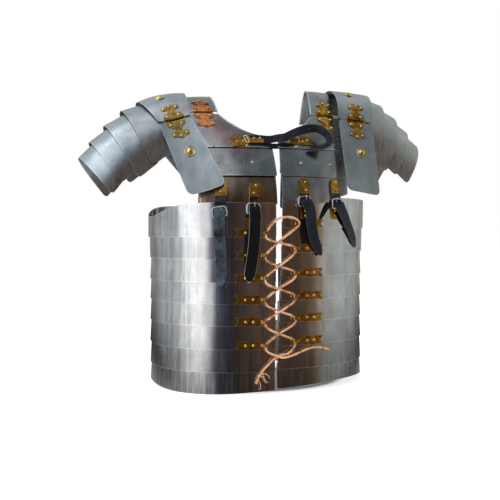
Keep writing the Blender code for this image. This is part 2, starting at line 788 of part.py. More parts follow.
def lace(leather, collection):
    """The lace that draws the two halves of the girdle together."""
    up = lace_through(range(TIED_HOOPS - 1, -1, -1), "left", True, LACE_CROSSINGS["over"])
    down = lace_through(range(TIED_HOOPS), "left", False, LACE_CROSSINGS["under"])
    first_crossing = Bend(LACE_CROSSINGS["x"], mix(down[1].z, down[3].z, 0.5), down[2].off)
    points = []
    for x, z, off in [*LACE_START, *up, *LACE_TOP, first_crossing, *down[3:], *LACE_END]:
        points.append(Vector((x * MM, -face_depth(x * MM, z * MM) - off * MM, z * MM)))
    curve = bpy.data.curves.new("lace", "CURVE")
    curve.dimensions = "3D"
    curve.bevel_depth = LACE_RADIUS
    curve.bevel_resolution = 2
    curve.use_fill_caps = True
    run = smooth_route(points, LACE_STEPS)
    spline = curve.splines.new("POLY")
    spline.points.add(len(run) - 1)
    for place, point in zip(spline.points, run):
        place.co = (*point, 1)
    curve.materials.append(leather)
    obj = bpy.data.objects.new("lace", curve)
    collection.objects.link(obj)
    return obj


for old in list(bpy.data.objects):
    bpy.data.objects.remove(old)

parts = new_collection("lorica_segmentata")
helpers = new_collection("helpers", hidden=True)
steel = new_material("mild_steel", (0.42, 0.44, 0.45), 1.0, 0.32)
brass = new_material("brass", (0.62, 0.40, 0.12), 1.0, 0.35)
leather = new_material("black_leather", (0.02, 0.022, 0.026), 0.0, 0.45)
thong = new_material("tan_leather_lace", (0.62, 0.38, 0.24), 0.0, 0.7)

for side in SIDES:
    for number in range(len(HOOPS[side])):
        ring = hoop(side, number, steel, parts)
        if number < TIED_HOOPS:
            join(ring, [tie(side, number, brass, helpers)])
    for plate in BREAST[side]:
        chest_plate(side, plate, False, steel, parts)
    for plate in BACK[side]:
        chest_plate(side, plate, True, steel, parts)
    shoulder_plate(side, steel, parts)
    top = guard_top(side, steel, parts)
    for end in ("front", "back"):
        plate = BREAST[side][0] if end == "front" else BACK[side][0]
        collar_hinge(side, end, plate, brass, parts, helpers)
        guard_strip(side, end, steel, parts)
        guard_hinge(side, end, top, brass, parts, helpers)
    for number in range(1, LAMES + 1):
        lame(side, number, steel, parts)
for name, stops in STRAPS.items():
    strap(name, stops, leather, parts)
for name, x in BACK_STRAPS.items():
    strap(name, [stop._replace(x=x) for stop in BACK_STRAP_STOPS], leather, parts, behind=True)
lace(thong, parts)
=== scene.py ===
"""The looks of a lorica segmentata: a cuirass of sheet steel plates with brass hinges and ties,
black straps and a tan lace. Metres, +Z up, the front towards -Y, the wearer's left towards +X."""

from collections import namedtuple
from math import acos, asin, copysign, cos, pi, radians, sin, sqrt

import bmesh
import bpy
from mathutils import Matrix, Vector, noise


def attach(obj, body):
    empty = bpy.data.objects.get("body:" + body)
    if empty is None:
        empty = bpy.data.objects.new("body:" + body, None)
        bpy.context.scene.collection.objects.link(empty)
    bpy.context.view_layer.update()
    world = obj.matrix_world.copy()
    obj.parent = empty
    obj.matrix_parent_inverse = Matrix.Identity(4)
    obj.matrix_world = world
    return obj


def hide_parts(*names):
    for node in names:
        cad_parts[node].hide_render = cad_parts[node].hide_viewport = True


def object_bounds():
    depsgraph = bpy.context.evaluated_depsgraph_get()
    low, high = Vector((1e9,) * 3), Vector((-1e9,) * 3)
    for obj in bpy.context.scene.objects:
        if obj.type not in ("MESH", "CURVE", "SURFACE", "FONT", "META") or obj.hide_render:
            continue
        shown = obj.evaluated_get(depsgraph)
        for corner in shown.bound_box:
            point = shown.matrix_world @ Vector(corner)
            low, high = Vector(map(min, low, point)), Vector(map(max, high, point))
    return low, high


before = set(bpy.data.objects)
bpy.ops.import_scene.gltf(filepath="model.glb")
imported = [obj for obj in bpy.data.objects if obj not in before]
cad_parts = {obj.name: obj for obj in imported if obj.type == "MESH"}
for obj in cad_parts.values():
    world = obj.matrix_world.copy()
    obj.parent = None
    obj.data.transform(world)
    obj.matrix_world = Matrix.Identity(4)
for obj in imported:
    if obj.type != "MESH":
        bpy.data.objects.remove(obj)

MM = 0.001
cad_box = [list(corner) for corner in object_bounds()]

# ------------------------------------------------------------------------------------- the camera
# It stands 15 degrees to the wearer's right of straight ahead, at the height of the navel.
CAMERA_AZIMUTH = radians(-15)
CAMERA_DISTANCE = 1.40
CAMERA_HEIGHT = -0.25
CAMERA_LENS = 54.94
LOOK_ASIDE = radians(0.45)
LOOK_DOWN = radians(1.58)

camera = bpy.data.objects.new("camera", bpy.data.cameras.new("camera"))
camera.data.lens = CAMERA_LENS
camera.data.clip_start = 0.01
camera.location = (
    sin(CAMERA_AZIMUTH) * CAMERA_DISTANCE,
    -cos(CAMERA_AZIMUTH) * CAMERA_DISTANCE,
    CAMERA_HEIGHT,
)
camera.rotation_euler = (pi / 2 - LOOK_DOWN, 0, CAMERA_AZIMUTH + LOOK_ASIDE)
bpy.context.scene.collection.objects.link(camera)
bpy.context.scene.camera = camera

# ------------------------------------------------------------------------------------- the studio
# A pale floor under the hem, a large soft light on the wearer's right, a smaller one on the left,
# and a room that is darker and warmer in front, which is what the polished steel mirrors. The floor
# glows as well, except under the armour, where its glow is cut off as painted shade.
def linear(code):
    """The linear colour of an sRGB hex code."""
    parts = [int(code[start:start + 2], 16) / 255 for start in (1, 3, 5)]
    return [part / 12.92 if part <= 0.04045 else ((part + 0.055) / 1.055) ** 2.4 for part in parts]


def give(node, values):
    """Sets a node's sockets, each to a value or to the colour of a hex code."""
    for socket, value in values.items():
        coloured = isinstance(value, str)
        node.inputs[socket].default_value = (*linear(value), 1) if coloured else value


def join(node, links):
    """Links the sources to a node's sockets."""
    for socket, source in links.items():
        node.id_data.links.new(source, node.inputs[socket])


def add(tree, kind, links=None, values=None, stops=(), output=None, **properties):
    """Adds a node with its properties, ramp, values and links, and gives one of its outputs.

    That is the first one which the node's properties leave on, if no other is asked for. The
    sockets are given by name or number: a MapRange reads the range from 1 to 2 and gives the one
    from 3 to 4, and a Mix's two colours are 6 and 7."""
    node = tree.nodes.new(f"ShaderNode{kind}")
    for name, value in properties.items():
        setattr(node, name, value)
    for number, (position, code) in enumerate(stops):
        elements = node.color_ramp.elements
        element = elements[number] if number < 2 else elements.new(position)
        element.position = position
        element.color = (*linear(code), 1)
    give(node, values or {})
    join(node, links or {})
    if output is None:
        return next((socket for socket in node.outputs if socket.enabled), None)
    return node.outputs[output]


def new_shader(name, values):
    """A material, its tree, and its Principled shader with the values that hold all over it."""
    material = bpy.data.materials.new(name)
    material.use_nodes = True
    shader = material.node_tree.nodes["Principled BSDF"]
    give(shader, values)
    return material, material.node_tree, shader


FLOOR_SIDE = 14.0
FLOOR_COLOUR = "#dcdcdb"
FLOOR_GLOW = 0.68
# Painted shade: inside this ellipse under the armour the floor's glow is cut off.
PAINTED_SHADE_HALF_WIDTH = 0.165
PAINTED_SHADE_HALF_DEPTH = 0.12
PAINTED_SHADE_SCALE = (1 / PAINTED_SHADE_HALF_WIDTH, 1 / PAINTED_SHADE_HALF_DEPTH, 0)
floor_mesh = bpy.data.meshes.new("floor")
half = FLOOR_SIDE / 2
hem = cad_box[0][2]
corners = [(-half, -half, hem), (half, -half, hem), (half, half, hem), (-half, half, hem)]
floor_mesh.from_pydata(corners, [], [(0, 1, 2, 3)])
floor = bpy.data.objects.new("floor", floor_mesh)
floor.visible_glossy = False
bpy.context.scene.collection.objects.link(floor)
# Matt paint, which takes the soft shadow of the hem and hardly shines.
painted_floor, tree, shader = new_shader(
    "matt_painted_floor", {
        "Base Color": FLOOR_COLOUR,
        "Roughness": 0.9,
        "Specular IOR Level": 0.1,
        "Emission Color": "#ffffff",
    }
)
place = add(tree, "TexCoord", output="Object")
flat = add(tree, "VectorMath", {0: place}, {1: PAINTED_SHADE_SCALE}, operation="MULTIPLY")
away = add(tree, "VectorMath", {0: flat}, operation="LENGTH")
# Painted shade: the glow fades to nothing inside the ellipse under the armour.
glow = add(tree, "MapRange", {0: away}, {1: 0.9, 2: 1.0, 4: FLOOR_GLOW})
join(shader, {"Emission Strength": glow})
floor_mesh.materials.append(painted_floor)

# The soft lights shape the leather, the lace and the rivets; only the spark is seen in the polish.
Softbox = namedtuple(
    "Softbox", "name azimuth elevation distance width height power colour mirrored"
)
SOFTBOXES = (
    Softbox("key", -62, 44, 2.2, 1.4, 1.2, 24, "#ffffff", False),
    Softbox("fill", 60, 26, 2.6, 1.0, 1.8, 9, "#f0f4ff", False),
    Softbox("front", -12, 30, 2.4, 1.6, 1.2, 7, "#fff4e6", False),
    Softbox("spark", -95, 60, 2.4, 0.8, 0.6, 2.0, "#ffffff", True),
    Softbox("back", 170, 40, 2.6, 2.0, 1.2, 18, "#ffffff", False),
)
AIM = Vector((0, 0, -0.25))
for box in SOFTBOXES:
    light = bpy.data.objects.new(f"softbox_{box.name}", bpy.data.lights.new(box.name, "AREA"))
    azimuth, elevation = radians(box.azimuth), radians(box.elevation)
    way = Vector((sin(azimuth) * cos(elevation), -cos(azimuth) * cos(elevation), sin(elevation)))
    light.location = AIM + way * box.distance
    light.rotation_euler = way.to_track_quat("Z", "Y").to_euler()
    light.data.shape = "RECTANGLE"
    light.data.size = box.width
    light.data.size_y = box.height
    light.data.energy = box.power
    light.data.color = linear(box.colour)
    light.visible_camera = False
    light.visible_glossy = box.mirrored
    bpy.context.scene.collection.objects.link(light)

# The room round the armour, by direction: a bright window on the wearer's right at -70 degrees, a
# brown dim wall in front, a grey one on the left, and above them the ceiling and what is straight
# overhead, which is plum in front. There is a dark band just below eye height, over a grey floor.
WALLS = (
    (0.000, "#8a8688"),
    (0.083, "#7a7679"),
    (0.167, "#a5a7a9"),
    (0.236, "#a4a9ac"),
    (0.280, "#c6cacb"),
    (0.306, "#ffffff"),
    (0.372, "#ffffff"),
    (0.388, "#c8c9cb"),
    (0.408, "#5a5c66"),
    (0.433, "#353743"),
    (0.458, "#2b2626"),
    (0.500, "#41352e"),
    (0.533, "#554236"),
    (0.561, "#3a2d24"),
    (0.600, "#4b3a2c"),
    (0.628, "#6a5948"),
    (0.647, "#96938d"),
    (0.708, "#9fa3a1"),
    (0.778, "#9c9f9b"),
    (0.847, "#8a8681"),
    (0.917, "#8d867f"),
    (1.000, "#8a8688"),
)
CEILING = (
    (0.000, "#9a9a9a"),
    (0.200, "#b4bcc2"),
    (0.300, "#e2eaef"),
    (0.370, "#dfe6ea"),
    (0.430, "#cfd8de"),
    (0.462, "#d9e2e8"),
    (0.480, "#8f979c"),
    (0.500, "#545d60"),
    (0.640, "#6a7275"),
    (0.760, "#8f9796"),
    (1.000, "#9a9a9a"),
)
APEX = (
    (0.000, "#8e959a"),
    (0.190, "#98a0a5"),
    (0.235, "#cbd4da"),
    (0.290, "#bac3c9"),
    (0.360, "#c3ccd2"),
    (0.430, "#b39da1"),
    (0.470, "#a67a7f"),
    (0.515, "#9a7073"),
    (0.560, "#7b6a6b"),
    (0.590, "#6d7072"),
    (0.750, "#868d90"),
    (1.000, "#8e959a"),
)
BELOW = "#141213"
UNDERFOOT = (
    (0.000, "#909294"),
    (0.200, "#a9abad"),
    (0.310, "#d2d4d6"),
    (0.390, "#a2a4a8"),
    (0.430, "#4e4f55"),
    (0.500, "#57504a"),
    (0.600, "#6b655e"),
    (0.700, "#9b9d9f"),
    (1.000, "#909294"),
)
ROOM_STRENGTH = 1.55
BACKGROUND = "#ffffff"
# The sines of the elevations between which one part of the room gives way to the next, and how
# much of it does.
WALLS_TO_CEILING = (0.3, 0.6, 1.0)
CEILING_TO_APEX = (0.82, 0.92, 1.0)
WALLS_TO_BAND = (-0.03, -0.13, 0.94)
BAND_TO_FLOOR = (-0.13, -0.2, 1.0)
room = bpy.data.worlds.new("studio")
room.use_nodes = True
tree = room.node_tree
tree.nodes.clear()
way = add(tree, "TexCoord", output="Generated")
x, y, z = add(tree, "SeparateXYZ", {0: way}).node.outputs
ahead = add(tree, "Math", {0: y}, {1: -1.0}, operation="MULTIPLY")
turn = add(tree, "Math", {0: x, 1: ahead}, operation="ARCTAN2")
part = add(tree, "MapRange", {0: turn}, {1: -pi, 2: pi})
walls, ceiling, apex, underfoot = (
    add(tree, "ValToRGB", {0: part}, stops=stops)
    for stops in (WALLS, CEILING, APEX, UNDERFOOT)
)
above, topmost, below, steep = (
    add(tree, "MapRange", {0: z}, {1: first, 2: last, 4: share})
    for first, last, share in (WALLS_TO_CEILING, CEILING_TO_APEX, WALLS_TO_BAND, BAND_TO_FLOOR)
)
upper = add(tree, "Mix", {0: above, 6: walls, 7: ceiling}, data_type="RGBA")
upper = add(tree, "Mix", {0: topmost, 6: upper, 7: apex}, data_type="RGBA")
lower = add(tree, "Mix", {0: steep, 7: underfoot}, {6: BELOW}, data_type="RGBA")
lit_room = add(tree, "Mix", {0: below, 6: upper, 7: lower}, data_type="RGBA")
seen = add(tree, "LightPath", output="Is Camera Ray")
shown = add(tree, "Mix", {0: seen, 6: lit_room}, {7: BACKGROUND}, data_type="RGBA")
strength = add(tree, "MapRange", {0: seen}, {3: ROOM_STRENGTH, 4: 1.0})
glow = add(tree, "Background", {0: shown, 1: strength})
add(tree, "OutputWorld", {0: glow})
bpy.context.scene.world = room
bpy.context.scene.view_settings.view_transform = "Standard"

# --------------------------------------------------------------------------------------- the lace
# One tan leather thong, cut round and rolled, laced crosswise through the eyes of the ties. Both
# ends hang free below the knot, and the lower one is frayed into thin strands.
# Each side of the wearer: which way it lies, how far its half swings out towards the back, and how
# much its shoulder is raised.
SIDES = {
    "right": dict(sign=-1, swing=0.09, raised=-14 * MM),
    "left": dict(sign=1, swing=0.17, raised=4 * MM),
}
SECTION_POWER = 2.3
GIRTH = (
    dict(z=-0.190, half_width=184 * MM, half_depth=133 * MM),
    dict(z=-0.260, half_width=179 * MM, half_depth=131 * MM),
    dict(z=-0.300, half_width=176 * MM, half_depth=130 * MM),
    dict(z=-0.520, half_width=176 * MM, half_depth=131 * MM),
)
# Each hoop's lower edge, and how far its front and back ends stand from the middle.
HOOPS = {
    "right": (
        dict(lower=-0.264, front=0.5 * MM, back=8 * MM),
        dict(lower=-0.301, front=0.5 * MM, back=8 * MM),
        dict(lower=-0.339, front=0.5 * MM, back=8 * MM),
        dict(lower=-0.375, front=0.8 * MM, back=8 * MM),
        dict(lower=-0.412, front=1.2 * MM, back=8 * MM),
        dict(lower=-0.451, front=1.6 * MM, back=8 * MM),
        dict(lower=-0.489, front=2.2 * MM, back=8 * MM),
        dict(lower=-0.520, front=2.8 * MM, back=8 * MM),
    ),
    "left": (
        dict(lower=-0.248, front=9.5 * MM, back=50 * MM),
        dict(lower=-0.290, front=9.0 * MM, back=49 * MM),
        dict(lower=-0.331, front=8.5 * MM, back=47 * MM),
        dict(lower=-0.370, front=7.0 * MM, back=36 * MM),
        dict(lower=-0.407, front=5.0 * MM, back=39 * MM),
        dict(lower=-0.446, front=3.5 * MM, back=35 * MM),
        dict(lower=-0.485, front=1.8 * MM, back=26 * MM),
        dict(lower=-0.518, front=0.6 * MM, back=24 * MM),
    ),
}
HOOP_TOP = {"right": -0.206, "left": -0.196}
TIED_HOOPS = 6
TIE_RAISE = 7.5 * MM
CHEST_BASE = -0.210
CHEST_HALF_WIDTH = 184 * MM
CHEST_HALF_DEPTH = 130 * MM
CHEST_POWER = 1.6
SHOULDER_START = 90 * MM
SHOULDER_SLOPE = 0.08
SWING_PASSES = 6

Bend = namedtuple("Bend", "x z off")
LACE_DIAMETER = 3.8 * MM
LACE_STEPS = 6
LACE_START = (
    Bend(-36, -507, 7),
    Bend(-31, -494, 7),
    Bend(-20, -480, 7),
    Bend(-6, -467, 8),
    Bend(6, -461, 6),
    Bend(18, -458, 9),
)
LACE_TOP = (Bend(-2, -235, 8), Bend(16, -230, 9), Bend(33, -234, 8), Bend(36, -245, 7))
LACE_END = (
    Bend(-4, -460, 11),
    Bend(10, -464, 12),
    Bend(28, -461, 9),
    Bend(55, -452, 8),
    Bend(78, -451, 8),
    Bend(99, -457, 7.5),
)
LACE_EYES = {"right": -17.5, "left": 29.5}
LACE_EYE_DROP = 3.5
LACE_EYE_HALF = 6
LACE_EYE_OFF = 7
LACE_CROSSINGS = dict(x=4, over=10.8, under=5.6)


def mix(low, high, part):
    """What lies at this part of the way from one value to another."""
    return low + (high - low) * part


def superellipse(part, power):
    """What is left of one half axis when the other is used up to this part."""
    return max(0.0, 1 - min(abs(part), 1) ** power) ** (1 / power)


def swung(side, x, y, z):
    """A point of the half on this side, moved out by the half's swing."""
    out = SIDES[side]["swing"] * max(0.0, y + GIRTH[1]["half_depth"])
    return Vector((SIDES[side]["sign"] * (x + out), y, z))


def girth(z):
    """Half width and half depth of the girdle at a height."""
    upper, lower = next(
        ((a, b) for a, b in zip(GIRTH, GIRTH[1:]) if z >= b["z"]), (GIRTH[-2], GIRTH[-1])
    )
    part = min(max((upper["z"] - z) / (upper["z"] - lower["z"]), 0), 1)
    return (
        mix(upper["half_width"], lower["half_width"], part),
        mix(upper["half_depth"], lower["half_depth"], part),
    )


def chest_half(x):
    """Half depth and height of the chest's arch at a distance from the middle."""
    depth = CHEST_HALF_DEPTH * superellipse(x / CHEST_HALF_WIDTH, SECTION_POWER)
    return depth, -CHEST_BASE - SHOULDER_SLOPE * max(0.0, x - SHOULDER_START)


def chest_point(side, x, turn, off):
    """A point of the chest: turn is 0 on the shoulder, and a right angle at the arch's foot."""
    depth, height = chest_half(x)
    power = 2 / CHEST_POWER
    y = copysign((depth + off) * abs(sin(turn)) ** power, turn)
    rise = max(cos(turn), 0) ** power
    return swung(side, x, y, CHEST_BASE + (height + off + SIDES[side]["raised"]) * rise)


def chest_turn(side, x, z):
    """The turn at which the chest's arch comes down to a height."""
    rise = max(0.0, (z - CHEST_BASE) / (chest_half(x)[1] + SIDES[side]["raised"]))
    return acos(min(rise, 1) ** (CHEST_POWER / 2))


def face_depth(x, z, behind=False):
    """How far the girdle or the chest reaches forwards at a place, or backwards behind."""
    side = "left" if x > 0 else "right"
    base = abs(x)
    for _ in range(SWING_PASSES):
        if z > HOOP_TOP["right"]:
            depth = -chest_point(side, base, -chest_turn(side, base, z), 0).y
        else:
            depth = girth(z)[1] * superellipse(base / girth(z)[0], SECTION_POWER)
        y = depth if behind else -depth
        base = max(0.0, abs(x) - SIDES[side]["swing"] * max(0.0, y + GIRTH[1]["half_depth"]))
    return depth


def face_point(x, z, off, behind=False):
    """A point this far in front of the armour, or behind it, at a place; all in mm."""
    back = 1 if behind else -1
    return Vector((x * MM, back * (face_depth(x * MM, z * MM, behind) + off * MM), z * MM))


def smooth_route(points, steps):
    """A smooth curve through the points, each stretch read at this many steps."""
    found = []
    for number in range(len(points) - 1):
        before = points[max(number - 1, 0)]
        start, end = points[number], points[number + 1]
        after = points[min(number + 2, len(points) - 1)]
        for step in range(steps):
            part = step / steps
            found.append(
                0.5
                * (
                    2 * start
                    + (end - before) * part
                    + (2 * before - 5 * start + 4 * end - after) * part**2
                    + (3 * start - before - 3 * end + after) * part**3
                )
            )
    return found + [points[-1]]


def lace_through(numbers, first, climbing, off):
    """The lace through one tie after another, from side to side, with a crossing between them."""
    bends = []
    side = first
    for number in numbers:
        middle = (HOOPS[side][number]["lower"] + TIE_RAISE) / MM - LACE_EYE_DROP
        ends = (middle - LACE_EYE_HALF, middle + LACE_EYE_HALF)
        entered, left = ends if climbing else reversed(ends)
        if bends:
            bends.append(Bend(LACE_CROSSINGS["x"], mix(bends[-1].z, entered, 0.5), off))
        bends += [Bend(LACE_EYES[side], z, LACE_EYE_OFF) for z in (entered, left)]
        side = "left" if side == "right" else "right"
    return bends


def ring(mesh, centre, across, up, radius, sides):
    """A ring of points round a centre, in the plane of two directions."""
    points = []
    for side in range(sides):
        angle = 2 * pi * side / sides
        points.append(mesh.verts.new(centre + (across * cos(angle) + up * sin(angle)) * radius))
    return points


def skin(mesh, rings, closed=False):
    """Faces from ring to ring, and flat caps unless it is closed, of which it gives the last."""
    for first, second in zip(rings, rings[1:] + (rings[:1] if closed else [])):
        for side in range(len(first)):
            after = (side + 1) % len(first)
            mesh.faces.new((first[side], first[after], second[after], second[side]))
    if closed:
        return None
    mesh.faces.new(rings[0][::-1])
    return mesh.faces.new(rings[-1])


def tube(mesh, points, radius, tip=None, sides=10, closed=False):
    """A round bar along the points, into a bmesh, which may thin out to its tip's radius."""
    last = len(points) - 1
    rings = []
    normal = None
    for number, point in enumerate(points):
        after = points[0 if closed and number == last else min(number + 1, last)]
        before = points[number - 1] if closed or number else point
        run = (after - before).normalized()
        normal = normal or run.orthogonal().normalized()
        normal = (normal - run * normal.dot(run)).normalized()
        here = mix(radius, radius if tip is None else tip, number / last)
        rings.append(ring(mesh, point, normal, run.cross(normal), here, sides))
    skin(mesh, rings, closed)


def new_piece(name, data, material, body, nodes=()):
    """A piece from a bmesh, a mesh or a curve, which rides on a body and stands for CAD nodes."""
    if isinstance(data, bmesh.types.BMesh):
        mesh = bpy.data.meshes.new(name)
        bmesh.ops.recalc_face_normals(data, faces=data.faces)
        data.to_mesh(mesh)
        data.free()
        data = mesh
    data.materials.append(material)
    if isinstance(data, bpy.types.Mesh):
        data.shade_smooth()
    piece = bpy.data.objects.new(name, data)
    bpy.context.scene.collection.objects.link(piece)
    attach(piece, body)
    if nodes:
        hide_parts(*nodes)
    return piece


# Tan vegetable-tanned thong: matt, with a fine grain across it and darker worn places.
THONG_DARK = "#8d5c3a"
THONG_MIDDLE = "#c8946f"
THONG_LIGHT = "#dcae8c"
THONG_GRAIN = 4.8 * MM
THONG_WEAR = 18.18 * MM
rolled_thong, tree, shader = new_shader(
    "rolled_leather_thong", {"Roughness": 0.66, "Specular IOR Level": 0.35}
)
place = add(tree, "TexCoord", output="Object")
grain, worn = (
    add(tree, "TexNoise", {"Vector": place}, {"Scale": 1 / size, "Detail": detail})
    for size, detail in ((THONG_GRAIN, 4.0), (THONG_WEAR, 2.0))
)
both = add(tree, "Math", {0: grain, 1: worn}, operation="ADD")
spread = add(tree, "MapRange", {0: both}, {1: 0.75, 2: 1.22})
colour = add(
    tree, "ValToRGB", {0: spread},
    stops=((0, THONG_DARK), (1, THONG_LIGHT), (0.5, THONG_MIDDLE)),
)
bump = add(tree, "Bump", {"Height": grain}, {"Strength": 0.6, "Distance": 0.3 * MM})
join(shader, {"Base Color": colour, "Normal": bump})

up = lace_through(range(TIED_HOOPS - 1, -1, -1), "left", True, LACE_CROSSINGS["over"])
down = lace_through(range(TIED_HOOPS), "left", False, LACE_CROSSINGS["under"])
first_crossing = Bend(LACE_CROSSINGS["x"], mix(down[1].z, down[3].z, 0.5), down[2].off)
bends = [*LACE_START, *up, *LACE_TOP, first_crossing, *down[3:], *LACE_END]
route = smooth_route([face_point(*bend) for bend in bends], LACE_STEPS)
thong_curve = bpy.data.curves.new("lace_thong", "CURVE")
thong_curve.dimensions = "3D"
thong_curve.bevel_depth = LACE_DIAMETER / 2
thong_curve.bevel_resolution = 3
thong_curve.use_fill_caps = True
run = thong_curve.splines.new("POLY")
run.points.add(len(route) - 1)
for spot, point in zip(run.points, route):
    spot.co = (*point, 1)
thong = new_piece("lace_thong", thong_curve, rolled_thong, "armour", ["lace"])

# The frayed end: thin strands that have split from the thong above its tip.
STRANDS = (
    (Bend(-30, -493, 8), Bend(-24, -497, 9), Bend(-20, -503, 10), Bend(-16, -505, 10)),
    (Bend(-29, -491, 8), Bend(-22, -490, 10), Bend(-17, -493, 11), Bend(-14, -499, 10)),
    (Bend(-33, -500, 8), Bend(-30, -506, 9), Bend(-29, -512, 9), Bend(-31, -517, 8)),
    (Bend(-27, -488, 8), Bend(-24, -494, 10), Bend(-24, -500, 11), Bend(-20, -506, 11)),
)
STRAND_STEPS = 4
STRAND_RADIUS = 0.9 * MM
STRAND_TIP = 0.35 * MM
strands = bmesh.new()
for strand in STRANDS:
    points = smooth_route([face_point(*bend) for bend in strand], STRAND_STEPS)
    tube(strands, points, STRAND_RADIUS, STRAND_TIP, sides=6)
lace_strands = new_piece("lace_strands", strands, rolled_thong, "armour")
tuple(route[0])

# -------------------------------------------------------------------------------------- the hoops
# Eight half hoops a side, of rolled 1.2 mm mild steel, each lapped 12 mm over the next and riveted
# to leather strips inside. The rolling leaves faint upright waves, and the edges are filed smooth.
STEEL = 1.2 * MM
ARMPIT_DIP = {"right": 22 * MM, "left": 2 * MM}
ARMPIT_POWER = 8
HEM_SAG = {"right": 6 * MM, "left": -6 * MM}
HOOP_OVERLAP = 12 * MM
HOOP_FLARE = 0.052
HOOP_COLUMNS = 110
HOOP_END_COLUMNS = (0, 0.15, 0.4, 0.7)
HOOP_LEVELS = (0, 0.8, 2.2, 5.0)
HOOP_MIDDLES = (1 / 3, 1 / 2, 2 / 3)
HOOP_CORNER = 2.5 * MM
WAVE = 0.42 * MM
WAVE_LENGTH = 17 * MM
WAVE_HEIGHT = 160 * MM
WAVE_SHIFT = 3.7
RIM_WIDTH = 2.0 * MM
# How thick the sheet is, how far its edges are broken, and how sharp an edge has to be for that.
SHEET = {"mild_steel": STEEL}
EDGE_BREAK = {"mild_steel": 0.3 * MM}
EDGE_ANGLE = radians(50)


def girdle_turn(x, z):
    """The angle from the middle at which the girdle's section reaches this far across."""
    return asin((x / girth(z)[0]) ** (SECTION_POWER / 2))


def girdle_point(side, turn, z, off):
    """A point of the girdle: turn is 0 in the middle of the front and pi behind."""
    half_width, half_depth = girth(z)
    power = 2 / SECTION_POWER
    x = (half_width + off) * max(sin(turn), 0) ** power
    y = -(half_depth + off) * copysign(abs(cos(turn)) ** power, cos(turn))
    return swung(side, x, y, z)


def hoop_top(side, number):
    """The height of a hoop's upper edge, lapped over by the hoop above."""
    return HOOP_TOP[side] if number == 0 else HOOPS[side][number - 1]["lower"] + HOOP_OVERLAP


def corner_inset(from_end, radius):
    """How far a rounded corner draws the side in, at a distance from the end of the plate."""
    if from_end >= radius:
        return 0.0
    return radius - sqrt(radius**2 - (radius - from_end) ** 2)


def wave(place, seed, height=1.0):
    """The sheet's faint waves: long along the height and short along the girth."""
    x, y, z = place
    spot = Vector((x / WAVE_LENGTH, y / WAVE_LENGTH, z / WAVE_HEIGHT + seed * WAVE_SHIFT))
    return WAVE * height * noise.noise(spot)


def ends_first(count, ends):
    """Parts from 0 to 1 at even steps, with closer ones at both ends."""
    return (
        [end / count for end in ends]
        + [step / count for step in range(1, count)]
        + [1 - end / count for end in reversed(ends)]
    )


def lengths_along(points):
    """How far each point of a line is from the line's start."""
    lengths = [0.0]
    for before, after in zip(points, points[1:]):
        lengths.append(lengths[-1] + (after - before).length)
    return lengths


def from_ends(points):
    """How far each point of a line is from the line's nearer end."""
    lengths = lengths_along(points)
    return [min(length, lengths[-1] - length) for length in lengths]


def thicken(piece, thickness, offset, edge):
    """Thickens a piece, inwards at -1 or both ways at 0, and breaks its edges."""
    shell = piece.modifiers.new("thickness", "SOLIDIFY")
    shell.thickness = thickness
    shell.offset = offset
    shell.use_even_offset = True
    broken = piece.modifiers.new("broken edges", "BEVEL")
    broken.width = edge
    broken.segments = 2
    broken.limit_method = "ANGLE"
    broken.angle_limit = EDGE_ANGLE
    broken.harden_normals = True


def sheet_piece(name, rows, inside, material, body, slot, nodes=()):
    """A grid of points thickened towards the point inside, with broken edges and its rim marked."""
    mesh = bpy.data.meshes.new(name)
    grid = bmesh.new()
    vertices = [[grid.verts.new(point) for point in row] for row in rows]
    for upper, lower in zip(vertices, vertices[1:]):
        for corners in zip(upper, upper[1:], lower[1:], lower):
            grid.faces.new(corners)
    grid.normal_update()
    middle = vertices[len(rows) // 2][len(rows[0]) // 2]
    if middle.normal.dot(middle.co - inside) < 0:
        bmesh.ops.reverse_faces(grid, faces=grid.faces)
    grid.to_mesh(mesh)
    grid.free()
    across = [from_ends(row) for row in rows]
    down = [from_ends(column) for column in zip(*rows)]
    rim = mesh.attributes.new("rim", "FLOAT", "POINT")
    for row in range(len(rows)):
        for column in range(len(rows[0])):
            nearest = min(across[row][column], down[column][row])
            rim.data[row * len(rows[0]) + column].value = max(0.0, 1 - nearest / RIM_WIDTH)
    piece = new_piece(name, mesh, material, body, nodes)
    thicken(piece, SHEET[slot], -1, EDGE_BREAK[slot])
    return piece


# Polished mild steel sheet: upright brushing, drawn coarser than it is so that it shows, cloudy
# handling marks, darker upright streaks painted in as reflections of the sheet's waves, and a
# thin warm tarnish in patches. The filed rims are brighter.
STEEL_LIGHT = "#e2e4e5"
STEEL_DARK = "#c6c8ca"
STEEL_WARM = "#8a6f5c"
STEEL_REFLECTION_STREAK = "#74767c"
STEEL_RIM = "#eceeee"
RIM_SHARE = 0.75
BRUSH_WIDTH = 3.143 * MM
REFLECTION_STREAK_WIDTH = 12.22 * MM
BRUSH_STRETCH = 40.91
CLOUD = 38 * MM
TARNISH_PATCH = 63.33 * MM


